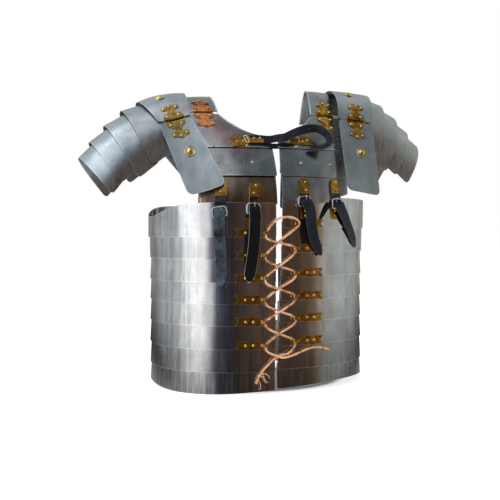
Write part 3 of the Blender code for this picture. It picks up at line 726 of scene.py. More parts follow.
def steel_sheet(name, light, dark, warm_share, roughness, reflection_streak_share=0.0):
    """Polished steel: cloud colours, shares of warm tarnish and of painted reflection streaks."""
    material, tree, shader = new_shader(name, {"Metallic": 1.0})
    place = add(tree, "TexCoord", output="Object")
    drawn_out = add(tree, "Mapping", {0: place}, {"Scale": (1, 1, 1 / BRUSH_STRETCH)})
    brushing = add(
        tree, "TexNoise", {"Vector": drawn_out}, {"Scale": 1 / BRUSH_WIDTH, "Detail": 2.0}
    )
    clouds = add(
        tree, "TexNoise", {"Vector": place},
        {"Scale": 1 / CLOUD, "Detail": 7.0, "Roughness": 0.6, "Distortion": 0.4},
    )
    # Painted reflection: darker upright streaks such as the sheet's waves show in the polish.
    reflection_streaking = add(
        tree, "TexNoise", {"Vector": drawn_out},
        {"Scale": 1 / REFLECTION_STREAK_WIDTH, "Detail": 3.0, "Roughness": 0.65},
    )
    patches = add(tree, "TexNoise", {"Vector": place}, {"Scale": 1 / TARNISH_PATCH, "Detail": 3.0})
    rim = add(tree, "Attribute", attribute_name="rim", output="Fac")
    cloudy = add(tree, "MapRange", {0: clouds}, {1: 0.34, 2: 0.66})
    reflection_streaked = add(tree, "MapRange", {0: reflection_streaking}, {1: 0.5, 2: 0.66, 4: reflection_streak_share})
    tarnish = add(tree, "MapRange", {0: patches}, {1: 0.42, 2: 0.7, 3: 0.25, 4: 1.0})
    warm = add(tree, "Math", {0: tarnish}, {1: warm_share}, operation="MULTIPLY")
    filed = add(tree, "Math", {0: rim}, {1: RIM_SHARE}, operation="MULTIPLY")
    colour = add(tree, "Mix", {0: cloudy}, {6: dark, 7: light}, data_type="RGBA")
    for share, code in ((reflection_streaked, STEEL_REFLECTION_STREAK), (warm, STEEL_WARM), (filed, STEEL_RIM)):
        colour = add(tree, "Mix", {0: share, 6: colour}, {7: code}, data_type="RGBA")
    rubbed = add(
        tree, "MapRange", {0: brushing},
        {1: 0.3, 2: 0.7, 3: roughness - 0.05, 4: roughness + 0.07},
    )
    bump = add(tree, "Bump", {"Height": brushing}, {"Strength": 0.05, "Distance": 0.02 * MM})
    join(shader, {"Base Color": colour, "Roughness": rubbed, "Normal": bump})
    return material


# The wearer's right half of the girdle has more of the painted reflection streaks.
GIRDLE_REFLECTION_STREAKS = {"right": 0.5, "left": 0.2}
girdle_steel = {
    side: steel_sheet(
        f"polished_girdle_steel_{side}", STEEL_LIGHT, STEEL_DARK,
        warm_share=0.2, roughness=0.13, reflection_streak_share=GIRDLE_REFLECTION_STREAKS[side],
    )
    for side in SIDES
}

for side in SIDES:
    for number, row in enumerate(HOOPS[side]):
        top, lower = hoop_top(side, number), row["lower"]
        heights = [top - step * MM for step in HOOP_LEVELS]
        heights += [mix(top, lower, part) for part in HOOP_MIDDLES]
        heights += [lower + step * MM for step in reversed(HOOP_LEVELS)]
        rows = []
        for level in heights:
            inset = corner_inset(min(top - level, level - lower), HOOP_CORNER)
            first = girdle_turn(row["front"] + inset, level)
            last = pi - girdle_turn(row["back"] + inset, level)
            points = []
            for column in ends_first(HOOP_COLUMNS, HOOP_END_COLUMNS):
                turn = mix(first, last, column)
                z = level
                if number == 0:
                    share = (level - lower) / (top - lower)
                    z -= ARMPIT_DIP[side] * sin(turn) ** ARMPIT_POWER * share
                if number == len(HOOPS[side]) - 1:
                    share = (top - level) / (top - lower)
                    z -= HEM_SAG[side] * max(0.0, sin(2 * turn)) * share
                point = girdle_point(side, turn, z, HOOP_FLARE * (top - level))
                place = girdle_point(side, turn, z, wave(point, number + 1))
                points.append(point + place - girdle_point(side, turn, z, 0))
            rows.append(points)
        name = f"hoop_{number + 1}_{side}"
        inside = Vector((0, 0, lower))
        sheet_piece(
            f"{name}_plate", rows, inside, girdle_steel[side], "armour", "mild_steel", [name]
        )

# --------------------------------------------------------------------------------------- the ties
# Cut from 1 mm brass sheet: a plate with a swallow-tailed end and two dome rivets, which narrows to
# a tongue that is bent round the lace into an eye.
SHEET["brass"] = 1.0 * MM
EDGE_BREAK["brass"] = 0.2 * MM
TIE_AT = {"right": 20, "left": 35}
TIE_HALF = 7.0
TIE_NECK_HALF = 2.6
TIE_NECK = 6.0
TIE_SHOULDER = 12.0
TIE_LENGTH = 48.0
TIE_NOTCH = 5.0
TIE_COLUMNS = 40
TIE_ROWS = (-1, -0.93, -0.6, -0.3, 0, 0.3, 0.6, 0.93, 1)
TIE_OFF = 1.15
TIE_MIDDLE = 20
TIE_RIVETS = (19, 31.5)
TIE_RIVET_OFF = 1.1
TIE_RIVET_RADIUS = 2.6 * MM
TIE_RIVET_HEIGHT = 1.6 * MM
# The tongue starts under the tie, turns through the eye's angles, and ends back on the neck: at
# distances from the eye's middle and from the hoop.
TONGUE_START = 3
TONGUE_OFF = 0.7
TONGUE_ROWS = (-1, -0.9, 0, 0.9, 1)
TONGUE_END = ((5.4, 5.0), (8.4, 1.9), (11.5, 1.3))
EYE_RADIUS = 3.3
EYE_OFF = 6.0
EYE_ANGLES = (-110, 130)
EYE_STEPS = 18
TONGUE_STEPS = 2

# Brass sheet: yellow where it is rubbed, brown with tarnish in patches, and faintly hammered.
BRASS_LIGHT = "#f2b64c"
BRASS_DARK = "#85501a"
STAIN = 7.692 * MM
HAMMER_MARK = 1.667 * MM


def brass_sheet(name, light, dark, roughness):
    """Tarnished brass sheet, polished by hand."""
    material, tree, shader = new_shader(name, {"Metallic": 1.0})
    place = add(tree, "TexCoord", output="Object")
    stains = add(
        tree, "TexNoise", {"Vector": place},
        {"Scale": 1 / STAIN, "Detail": 6.0, "Roughness": 0.62, "Distortion": 0.6},
    )
    stained = add(tree, "MapRange", {0: stains}, {1: 0.36, 2: 0.62})
    colour = add(tree, "Mix", {0: stained}, {6: dark, 7: light}, data_type="RGBA")
    rubbed = add(
        tree, "MapRange", {0: stains},
        {1: 0.3, 2: 0.7, 3: roughness + 0.1, 4: roughness - 0.06},
    )
    marks = add(tree, "TexNoise", {"Vector": place}, {"Scale": 1 / HAMMER_MARK, "Detail": 3.0})
    bump = add(tree, "Bump", {"Height": marks}, {"Strength": 0.3, "Distance": 0.06 * MM})
    join(shader, {"Base Color": colour, "Roughness": rubbed, "Normal": bump})
    return material


yellow_brass = brass_sheet("cut_brass_sheet", BRASS_LIGHT, BRASS_DARK, roughness=0.27)
# The rivets and bosses are of paler brass, which is polished brighter.
rivet_brass = brass_sheet("rivet_brass", "#fff0b8", "#cfb06a", roughness=0.22)
RIVET_STEPS = 5
RIVET_SIDES = 16


def turned(mesh, point, normal, profile, sides):
    """A turned shape from its radii and heights, on a point, and the flat cap that ends it."""
    across = normal.orthogonal().normalized()
    up = normal.cross(across)
    return skin(mesh, [
        ring(mesh, point + normal * height, across, up, radius, sides) for radius, height in profile
    ])


def rivets(name, spots, radius, height, body):
    """Dome-headed brass rivets, each at a point with the direction it faces."""
    mesh = bmesh.new()
    angles = [pi / 2 * step / RIVET_STEPS for step in range(RIVET_STEPS)]
    profile = [(radius * cos(angle), height * sin(angle)) for angle in angles]
    for point, normal in spots:
        cap = turned(mesh, point, normal, profile, RIVET_SIDES)
        crown, = bmesh.ops.poke(mesh, faces=[cap])["verts"]
        crown.co = point + normal * height
    return new_piece(name, mesh, rivet_brass, body)


def tie_half(along):
    """Half the height of a tie at a distance from its neck."""
    if along < TIE_NECK:
        return TIE_NECK_HALF
    part = min((along - TIE_NECK) / (TIE_SHOULDER - TIE_NECK), 1)
    return mix(TIE_NECK_HALF, TIE_HALF, part * part * (3 - 2 * part))


for side in SIDES:
    spots = []
    for number in range(TIED_HOOPS):
        top = hoop_top(side, number)
        middle = HOOPS[side][number]["lower"] + TIE_RAISE

        def on_hoop(along, height, off):
            """A point over the hoop, from the tie's neck outwards, in mm."""
            z = middle + height * MM
            x = (TIE_AT[side] + along) * MM
            return girdle_point(side, girdle_turn(x, z), z, HOOP_FLARE * (top - z) + off * MM)

        rows = []
        for height in TIE_ROWS:
            points = []
            for step in range(TIE_COLUMNS + 1):
                along = TIE_LENGTH * step / TIE_COLUMNS
                notch = TIE_NOTCH * (1 - abs(height)) * max(0.0, along / TIE_LENGTH * 4 - 3)
                points.append(on_hoop(along - notch, height * tie_half(along), TIE_OFF))
            rows.append(points)
        inside = Vector((0, 0, middle))
        name = f"tie_{number + 1}_{side}"
        sheet_piece(f"{name}_plate", rows, inside, yellow_brass, "armour", "brass")
        facing = (on_hoop(TIE_MIDDLE, 0, 2) - on_hoop(TIE_MIDDLE, 0, 1)).normalized()
        spots += [(on_hoop(along, 0, TIE_RIVET_OFF), facing) for along in TIE_RIVETS]
        # The tongue, from under the neck round the lace and back on to the neck.
        start = on_hoop(TONGUE_START, 0, TONGUE_OFF)
        along_way = (on_hoop(0, 0, TONGUE_OFF) - start).normalized()
        to_eye = TIE_AT[side] + TONGUE_START - abs(LACE_EYES[side])
        curl = [Vector((0, 0, 0))]
        for step in range(EYE_STEPS + 1):
            angle = radians(mix(*EYE_ANGLES, step / EYE_STEPS))
            curl.append(Vector((
                to_eye + EYE_RADIUS * cos(angle), EYE_OFF + EYE_RADIUS * sin(angle), 0
            )))
        curl += [Vector((to_eye - back, off, 0)) for back, off in TONGUE_END]
        curl = smooth_route(curl, TONGUE_STEPS)
        rows = []
        for height in TONGUE_ROWS:
            up = Vector((0, 0, height * TIE_NECK_HALF * MM))
            rows.append([start + (along_way * x + facing * off) * MM + up for x, off, _ in curl])
        centre = start + (along_way * to_eye + facing * EYE_OFF) * MM
        sheet_piece(f"{name}_eye", rows, centre, yellow_brass, "armour", "brass")
    rivets(f"tie_rivets_{side}", spots, TIE_RIVET_RADIUS, TIE_RIVET_HEIGHT, "armour")

# -------------------------------------------------------------------- the breast and back plates
# On each half of the chest a lower plate, a band over it and a collar plate behind the band, of
# 1.2 mm mild steel, riveted together. The neck's edge is turned out over a wire.
COLLAR_HINGE = -0.050
HINGE_GAP = 4.2 * MM
NECK_SIDE = {"right": 77 * MM, "left": 72 * MM}
NECK_POWER = 2.2
# In mm: the inner and outer edges, the top and bottom, how much higher the bottom is at the outer
# end, how far top and bottom stand off the chest, and the radius of the lower inner corner. A top
# of None is the neck's curve, which is this high at the inner edge.
Plate = namedtuple("Plate", "name inner outer top neck bottom rise off corner")
BREAST = {
    "right": (
        Plate("breast_collar", 1, 138, None, -92, -114, 0, (1.0, 3.4), 1),
        Plate("breast_band", -4, 129, -102, -92, -162, 0, (0.6, 3.4), 2),
        Plate("breast_lower", -3, 122, -150, -92, -209, 0, (-1.5, -1.5), 2),
    ),
    "left": (
        Plate("breast_collar", 6, 146, None, -92, -114, 0, (1.0, 3.4), 1),
        Plate("breast_band", 8, 141, -102, -92, -162, 0, (0.6, 3.6), 9),
        Plate("breast_lower", 10, 134, -150, -92, -208, 18, (0.0, 7.0), 8),
    ),
}
BACK = {
    "right": (
        Plate("back_upper", 12, 118, None, -72, -122, 0, (1.0, 3.2), 4),
        Plate("back_lower", 14, 62, -110, -72, -208, 0, (-0.6, -2.5), 4),
    ),
    "left": (
        Plate("back_upper", 38, 118, None, -72, -140, 0, (1.0, 3.2), 4),
        Plate("back_lower", 40, 116, -128, -72, -208, 0, (-0.6, -2.5), 4),
    ),
}
PLATE_COLUMNS = 48
PLATE_LEVELS = 12
PLATE_END = (0, 0.06, 0.2, 0.5)
NECK_BEAD = 1.25 * MM
BEAD_START = 1.5 * MM
BEAD_STEPS = 40
BREAST_RIVETS = {
    "right": ((-95, -111), (-40, -111), (-90, -139), (-35, -139)),
    "left": ((39, -111), (46, -139), (101, -139)),
}
RIVET_RADIUS = 2.8 * MM
RIVET_HEIGHT = 1.8 * MM


def neck_height(side, x, middle):
    """The upper edge of a collar plate: the neck's curve, then the hinge's line."""
    part = min(x / NECK_SIDE[side], 1)
    return mix(middle, COLLAR_HINGE - HINGE_GAP / 2, part**NECK_POWER)


def plate_top(side, plate, x):
    """The height of a breast or back plate's upper edge at a distance from the middle."""
    return neck_height(side, x, plate.neck * MM) if plate.top is None else plate.top * MM


def plate_bottom(side, plate, x):
    """The height of a breast or back plate's lower edge, which may rise towards the arm."""
    part = (x - NECK_SIDE[side]) / (plate.outer * MM - NECK_SIDE[side])
    return (plate.bottom + plate.rise * max(0.0, part)) * MM


def stand_off(side, plate, x, z):
    """How far a breast or back plate stands off the chest at a place."""
    top = plate_top(side, plate, x)
    return mix(*plate.off, (top - z) / (top - plate.bottom * MM)) * MM


def on_plate(side, plate, x, z, off, behind=False):
    """A point on a breast or back plate, at a distance from the middle and a height."""
    turn = chest_turn(side, x, z)
    return chest_point(side, x, turn if behind else -turn, stand_off(side, plate, x, z) + off)


def facing_at(place):
    """The way a surface faces, from the function that gives a point of it by its stand-off."""
    return (place(3 * MM) - place(2 * MM)).normalized()


def bar_piece(name, points, radius, material, body, sides=10, closed=False):
    """A round bar along the points as a piece."""
    mesh = bmesh.new()
    tube(mesh, points, radius, sides=sides, closed=closed)
    return new_piece(name, mesh, material, body)


# The same steel, greyer and less polished, and brown on one lower plate as a painted reflection.
breast_steel = steel_sheet(
    "polished_breast_steel", "#b9bec1", "#8b9194", warm_share=0.3, roughness=0.24
)
brown_reflection_steel = steel_sheet(
    "tarnished_breast_steel", "#b39c88", "#826f5f", warm_share=0.85, roughness=0.26
)
for side in SIDES:
    for behind, plates in ((False, BREAST[side]), (True, BACK[side])):
        for plate in plates:
            inner, outer, corner = plate.inner * MM, plate.outer * MM, plate.corner * MM
            rows = []
            for level in ends_first(PLATE_LEVELS, PLATE_END):
                points = []
                for column in ends_first(PLATE_COLUMNS, PLATE_END):
                    x = mix(inner, outer, column)
                    bottom = plate_bottom(side, plate, x)
                    z = mix(plate_top(side, plate, x), bottom, level)
                    x += corner_inset(z - bottom, corner) * (outer - x) / (outer - inner)
                    place = on_plate(side, plate, x, z, 0, behind)
                    points.append(on_plate(side, plate, x, z, wave(place, plate.bottom), behind))
                rows.append(points)
            name = f"{plate.name}_{side}"
            inside = Vector((SIDES[side]["sign"] * NECK_SIDE[side], 0, CHEST_BASE))
            # Painted reflection: the wearer's right lower plate is coloured brown all over.
            painted_brown = plate.name == "breast_lower" and side == "right"
            made_of = brown_reflection_steel if painted_brown else breast_steel
            sheet_piece(f"{name}_plate", rows, inside, made_of, "armour", "mild_steel", [name])
            if plate.top is None:
                path = []
                for step in range(BEAD_STEPS + 1):
                    x = mix(inner + BEAD_START, NECK_SIDE[side], step / BEAD_STEPS)
                    z = plate_top(side, plate, x)
                    path.append(on_plate(side, plate, x, z, -STEEL / 2, behind))
                bar_piece(
                    f"{name}_turned_edge", path, NECK_BEAD, girdle_steel[side], "armour",
                )
    spots = []
    for x, z in BREAST_RIVETS[side]:
        collar, band = BREAST[side][:2]
        plate = band if z < collar.bottom else collar

        def place(off):
            return on_plate(side, plate, abs(x) * MM, z * MM, off)

        spots.append((place(0), facing_at(place)))
    rivets(f"breast_rivets_{side}", spots, RIVET_RADIUS, RIVET_HEIGHT, "armour")

# ---------------------------------------------------------------------------- the shoulder plates
# A collar plate arches over each shoulder, of 1.2 mm mild steel, hinged to the breast plate in
# front and to the back plate behind. Its neck edge is turned out over a wire as well.
COLLAR_OUTER = {"right": 125 * MM, "left": 139 * MM}
COLLAR_HINGE_MIDDLE = {"right": 101 * MM, "left": 98.5 * MM}
COLLAR_OFF = 1.0 * MM
SHOULDER_ROWS = 8
SHOULDER_COLUMNS = 72
ARCH_ENDS = (0, 0.15, 0.4)
SHOULDER_BEAD_STEPS = 60
SHOULDER_SEED = 9
for side in SIDES:
    rows = []
    for part in ends_first(SHOULDER_ROWS, PLATE_END):
        x = mix(NECK_SIDE[side], COLLAR_OUTER[side], part)
        end = chest_turn(side, x, COLLAR_HINGE + HINGE_GAP / 2)
        points = []
        for column in ends_first(SHOULDER_COLUMNS, ARCH_ENDS):
            turn = mix(-end, end, column)
            place = chest_point(side, x, turn, COLLAR_OFF)
            points.append(chest_point(side, x, turn, COLLAR_OFF + wave(place, SHOULDER_SEED)))
        rows.append(points)
    inside = Vector((SIDES[side]["sign"] * COLLAR_OUTER[side], 0, CHEST_BASE))
    sheet_piece(
        f"shoulder_plate_{side}", rows, inside, breast_steel, "armour", "mild_steel",
        [f"shoulder_{side}"],
    )
    x = NECK_SIDE[side]
    end = chest_turn(side, x, COLLAR_HINGE + HINGE_GAP / 2)
    turns = [mix(-end, end, step / SHOULDER_BEAD_STEPS) for step in range(SHOULDER_BEAD_STEPS + 1)]
    path = [chest_point(side, x, turn, COLLAR_OFF - STEEL / 2) for turn in turns]
    bar_piece(
        f"shoulder_turned_edge_{side}", path, NECK_BEAD, girdle_steel[side], "armour"
    )

# ------------------------------------------------------------------------------ the collar hinges
# Two brass leaves, cut from 1 mm sheet as a lobed figure, and folded under round a steel pin, which
# shows in the slot between them. Each has two rivets in its broad foot and three in its head.
CLEAR = 0.3 * MM
PIN_RADIUS = 1.3 * MM
PIN_HALF_LENGTH = 15 * MM
# A leaf's fold under the pin, as distances from the pin and stand-offs, and its outline, in mm: a
# round foot, a waist, a lobe on each side and one at the head, whose middles are this far across
# and along and which have these radii.
LEAF_CURL = ((-0.5, -1.9), (-0.95, -1.0), (-1.0, 0.2), (-0.6, 0.85), (0.2, 1.2))
LEAF_OFF = 1.3
LEAF_LENGTH = 32.5
LEAF_FOOT = dict(half=17, length=13.5, power=2.4)
LEAF_WAIST = 6.2
LEAF_SIDE_LOBE = (10.4, 24.4, 4.8)
LEAF_HEAD_LOBE = (0, 27, 5.6)
LEAF_TIP = 0.3
LEAF_ROWS = 44
LEAF_COLUMNS = (-1, -0.93, -0.75, -0.5, -0.25, 0, 0.25, 0.5, 0.75, 0.93, 1)
LEAF_RIVETS = ((-9.6, 6.2), (9.6, 6.2), (-10.6, 24.6), (0, 28.2), (10.6, 24.6))
CHEST_STEP = radians(0.25)


def lobe(along, across, middle, radius):
    """How far a round lobe reaches across at a distance from the pin."""
    left = radius**2 - (along - middle) ** 2
    return across + sqrt(left) if left > 0 else 0.0


def leaf_half(along):
    """Half the width of a hinge leaf at a distance from the pin, in mm."""
    foot_part = max(along, 0.0) / LEAF_FOOT["length"]
    return max(
        LEAF_FOOT["half"] * superellipse(foot_part, LEAF_FOOT["power"]),
        LEAF_WAIST if along < LEAF_HEAD_LOBE[1] else 0.0,
        lobe(along, *LEAF_SIDE_LOBE),
        lobe(along, *LEAF_HEAD_LOBE),
        LEAF_TIP,
    )


def hinge_leaf(name, place, inside, material, body, nodes=()):
    """A leaf on its plate: place gives a point from across, along and stand-off, in metres."""
    lengths = [LEAF_LENGTH * step / LEAF_ROWS for step in range(1, LEAF_ROWS + 1)]
    rows = []
    for along, off in [*LEAF_CURL, *((length, LEAF_OFF) for length in lengths)]:
        half = leaf_half(along)
        rows.append([place(across * half * MM, along * MM, off * MM) for across in LEAF_COLUMNS])
    sheet_piece(name, rows, inside, material, body, "brass", nodes)
    spots = []
    for across, along in LEAF_RIVETS:
        def off_leaf(off):
            return place(across * MM, along * MM, off)

        spots.append((off_leaf(LEAF_OFF * MM), facing_at(off_leaf)))
    rivets(f"{name}_rivets", spots, RIVET_RADIUS, RIVET_HEIGHT, body)


def chest_walk(side, x, turn, distance):
    """The turn reached after going this far down the chest at a width, or up if it is negative."""
    step = CHEST_STEP * copysign(1, turn) * copysign(1, distance)
    walked = 0.0
    here = chest_point(side, x, turn, 0)
    while True:
        there = chest_point(side, x, turn + step, 0)
        length = (there - here).length
        if walked + length >= abs(distance):
            return turn + step * (abs(distance) - walked) / length
        walked += length
        turn += step
        here = there


# Plain steel wire, dark brown in patches: partly oxide, partly painted shade of its slot.
PIN_DARK = "#2c1612"
PIN_LIGHT = "#4a3a34"
PIN_PATCH = 3.333 * MM
shade_painted_pin, tree, shader = new_shader("steel_pin_painted_shade", {"Metallic": 1.0, "Roughness": 0.5})
place = add(tree, "TexCoord", output="Object")
pin_patches = add(tree, "TexNoise", {"Vector": place}, {"Scale": 1 / PIN_PATCH})
colour = add(tree, "Mix", {0: pin_patches}, {6: PIN_DARK, 7: PIN_LIGHT}, data_type="RGBA")
join(shader, {"Base Color": colour})

# One front hinge is redder with tarnish, and the guard's above it is greener.
copper_brass = brass_sheet("copper_toned_brass", "#f2a662", "#bf6c36", roughness=0.3)
olive_brass = brass_sheet("olive_toned_brass", "#cfae62", "#8c7038", roughness=0.3)
for side in SIDES:
    middle = COLLAR_HINGE_MIDDLE[side]
    inside = Vector((SIDES[side]["sign"] * middle, 0, CHEST_BASE))
    for end, plate in (("front", BREAST[side][0]), ("back", BACK[side][0])):
        facing = -1 if end == "front" else 1

        def collar_place(direction):
            """The function that gives a point of the upper leaf, 1, or of the lower leaf, -1."""
            def place(across, along, off):
                x = middle + across
                edge = facing * chest_turn(side, x, COLLAR_HINGE + direction * HINGE_GAP / 2)
                turn = chest_walk(side, x, edge, -direction * along)
                under = COLLAR_OFF
                if direction < 0:
                    under = stand_off(side, plate, x, chest_point(side, x, turn, 0).z)
                return chest_point(side, x, turn, under + off + CLEAR)

            return place

        name = f"collar_hinge_{end}_{side}"
        made_of = copper_brass if (side, end) == ("right", "front") else yellow_brass
        hinge_leaf(f"{name}_upper", collar_place(1), inside, made_of, "armour")
        hinge_leaf(f"{name}_lower", collar_place(-1), inside, made_of, "armour", [name])
        points = []
        for x in (middle - PIN_HALF_LENGTH, middle, middle + PIN_HALF_LENGTH):
            turn = facing * chest_turn(side, x, COLLAR_HINGE)
            points.append(chest_point(side, x, turn, COLLAR_OFF - STEEL / 4))
        bar_piece(f"{name}_pin", points, PIN_RADIUS, shade_painted_pin, "armour", 12)

# --------------------------------------------------------------------------------------- the lames
# Four curved lames over each arm, of 1.2 mm mild steel, each under the band above it and riveted to
# leather strips inside. Their straight ends have rounded corners.
# The edge between two bands: the place of its top, how far it leans out, the radius of its arch and
# how much higher that is than a half circle, and its straight legs, in mm and degrees.
Edge = namedtuple("Edge", "x z lean radius arch leg")
ARM_EDGES = {
    "right": (
        Edge(137, -10, 0, 86, 0.83, 0),
        Edge(218, -29, 34, 84, 0.92, 0),
        Edge(246, -45, 25, 82, 1, 26),
        Edge(275, -72, 29, 80, 1, 28),
        Edge(300, -101, 34, 77, 1, 12),
        Edge(318, -128, 39, 74, 1, 10),
    ),
    "left": (
        Edge(137, 7, 7, 86, 1.05, 0),
        Edge(209, 1, 14, 84, 1.14, 0),
        Edge(234, -15, 15, 82, 1.05, 40),
        Edge(262, -38, 20, 80, 1, 36),
        Edge(287, -63, 26, 77, 1, 24),
        Edge(309, -88, 28, 74, 1, 17),
    ),
}
LAMES = 4
LAME_LAP = 14
LAME_SINK = 5
ARCH_COLUMNS = 72
LEG_COLUMNS = (1, 0.97, 0.9, 0.8, 0.6, 0.4, 0.2)
LAME_CORNER = 8
LAME_ROWS = 9
LAME_ENDS = (0, 0.12, 0.4, 0.9)


def between(first, second, part, sink=0.0):
    """The line between two edges at this part of the way, sunk towards the arm."""
    edge = Edge(*(mix(a, b, part) for a, b in zip(first, second)))
    lean = radians(edge.lean)
    return edge._replace(
        radius=edge.radius - sink, x=edge.x - sink * sin(lean), z=edge.z - sink * cos(lean)
    )


def arch_point(side, edge, angle, leg=0.0):
    """A point of a shoulder band's edge: angle is 0 on top and a right angle at the side."""
    down = edge.radius * edge.arch * (1 - cos(angle)) + leg
    x = edge.x - down * sin(radians(edge.lean))
    z = edge.z - down * cos(radians(edge.lean))
    return Vector((SIDES[side]["sign"] * x, edge.radius * sin(angle), z)) * MM


def arm_inside(side, edge):
    """A point inside the arm, below the top of an edge."""
    x = edge.x - edge.radius / 2
    return Vector((SIDES[side]["sign"] * x, 0, edge.z - edge.radius)) * MM


def band_edges(side, number):
    """The inner and outer edge of the guard, number 0, or of a lame, each under the one before."""
    outer = ARM_EDGES[side][number + 1]
    if number == 0:
        return ARM_EDGES[side][0], outer
    above, below = band_edges(side, number - 1)
    width = Vector((below.x - above.x, below.z - above.z)).length
    return between(above, below, 1 - LAME_LAP / width, LAME_SINK), outer


# Steel with a satin finish, which is duller on the lames of the wearer's left arm.
arm_steel = steel_sheet("satin_arm_steel", "#d3dade", "#b4bcc1", warm_share=0.08, roughness=0.34)
dull_steel = steel_sheet("dull_lame_steel", "#e4e5e0", "#c4c6c2", warm_share=0.1, roughness=0.44)
lame_steel = {"right": arm_steel, "left": dull_steel}
for side in SIDES:
    for number in range(1, LAMES + 1):
        inner, outer = band_edges(side, number)
        width = Vector((outer.x - inner.x, outer.z - inner.z)).length
        rows = []
        for part in ends_first(LAME_ROWS, LAME_ENDS):
            edge = between(inner, outer, part)
            leg = outer.leg - corner_inset(min(part, 1 - part) * width, LAME_CORNER)
            places = [(-90, share * leg) for share in LEG_COLUMNS]
            places += [(mix(-90, 90, step / ARCH_COLUMNS), 0) for step in range(ARCH_COLUMNS + 1)]
            places += [(90, share * leg) for share in reversed(LEG_COLUMNS)]
            points = []
            for angle, straight in places:
                spot = arch_point(side, edge, radians(angle), straight)
                bulged = between(inner, outer, part, -wave(spot, number) / MM)
                points.append(arch_point(side, bulged, radians(angle), straight))
            rows.append(points)
        name = f"lame_{number}_{side}"
        sheet_piece(
            f"{name}_plate", rows, arm_inside(side, outer), lame_steel[side], "armour",
            "mild_steel", [name],
        )

# ----------------------------------------------------------------------------- the shoulder guards
# The guard's top plate arches over the collar plate, and a strip hangs from it in front and behind,
# each on a brass hinge like the collar's. All are 1.2 mm mild steel with rounded corners.
STRIP_CORNERS = {
    ("right", "front"): ((84 * MM, -126 * MM, -0.175), (146 * MM, -119 * MM, -0.195)),
    ("left", "front"): ((130 * MM, -124 * MM, -0.182), (194 * MM, -114 * MM, -0.185)),
    ("right", "back"): ((44 * MM, 127 * MM, -0.154), (97 * MM, 125 * MM, -0.170)),
    ("left", "back"): ((124 * MM, 128 * MM, -0.182), (186 * MM, 116 * MM, -0.186)),
}
STRIP_RADIUS = 10 * MM
STRIP_UPPER_RADIUS = 6 * MM
GUARD_ANGLE = radians(70)
GUARD_SKEW = {"right": radians(10), "left": 0.0}
GUARD_CROWN = {"right": 5, "left": 1}
GUARD_RADIUS = 4.5 * MM
GUARD_ROWS = 14
STRIP_ROWS = 26
STRIP_ENDS = (0, 0.08, 0.22, 0.5)
STRIP_COLUMNS = 18
STRIP_SIDES = (0, 0.08, 0.25, 0.55)
STRIP_WAVE = 0.7
GUARD_SEED = 5
STRIP_SEED = 7


def guard_end(side, end, across):
    """The angle at which the guard's top plate ends, in front or behind."""
    return -GUARD_ANGLE if end == "front" else GUARD_ANGLE + GUARD_SKEW[side] * across


def guard_point(side, across, angle, off):
    """A point of the guard's top plate: across is 0 at the neck's side and 1 at the arm's."""
    inner, outer = band_edges(side, 0)
    crown = GUARD_CROWN[side] * 4 * across * (1 - across) * max(0, 1 - (angle / GUARD_ANGLE) ** 2)
    return arch_point(side, between(inner, outer, across, -off / MM - crown), angle)


def strip_corner(side, end, number):
    """A lower corner of a guard strip, the one nearer to the neck or the one nearer to the arm."""
    x, y, z = STRIP_CORNERS[side, end][number]
    return Vector((SIDES[side]["sign"] * x, y, z))


def strip_point(side, end, across, along, off):
    """A point of a guard strip: along is the distance from the guard's top plate."""
    top = [guard_point(side, part, guard_end(side, end, part), 0) for part in (0, 1)]
    low = [strip_corner(side, end, number) for number in (0, 1)]
    run = (low[0] - top[0]).normalized().lerp((low[1] - top[1]).normalized(), across)
    normal = (top[1] - top[0]).cross(run).normalized()
    normal = normal if normal.y * low[0].y > 0 else -normal
    start = guard_point(side, across, guard_end(side, end, across), 0)
    return start + run * along + normal * off


def strip_length(side, end):
    """How long a guard strip is, from the guard's top plate down."""
    return (strip_corner(side, end, 0) - guard_point(side, 0, guard_end(side, end, 0), 0)).length


def width_at(place):
    """How wide a plate is where place gives a point by how far across it is."""
    return (place(1) - place(0)).length


# Domed and ringed brass bosses, one on each front strip and one on each top plate, where the strap
# inside is riveted. The profile's radii and heights run from the rim to the crown, in mm. A boss is
# this far across its plate, and this far down the strip in mm, or round the top plate in degrees.
BOSS_PROFILE = (
    (9.6, 0), (9.6, 0.7), (8.9, 1.25), (7.6, 1.2), (6.6, 0.75), (5.4, 1.1), (4.4, 2.1), (3.0, 3.1),
    (1.5, 3.6),
)
BOSS_SIDES = 32
STRIP_BOSSES = {"right": (0.47, 62.5), "left": (0.57, 61.5)}
TOP_BOSSES = {"right": (0.58, -26), "left": (0.395, -26.2)}


def boss(name, place, body):
    """A turned brass boss on the surface that place gives a point of by its stand-off."""
    mesh = bmesh.new()
    profile = [(radius * MM, height * MM) for radius, height in BOSS_PROFILE]
    turned(mesh, place(0), facing_at(place), profile, BOSS_SIDES)
    return new_piece(name, mesh, rivet_brass, body)


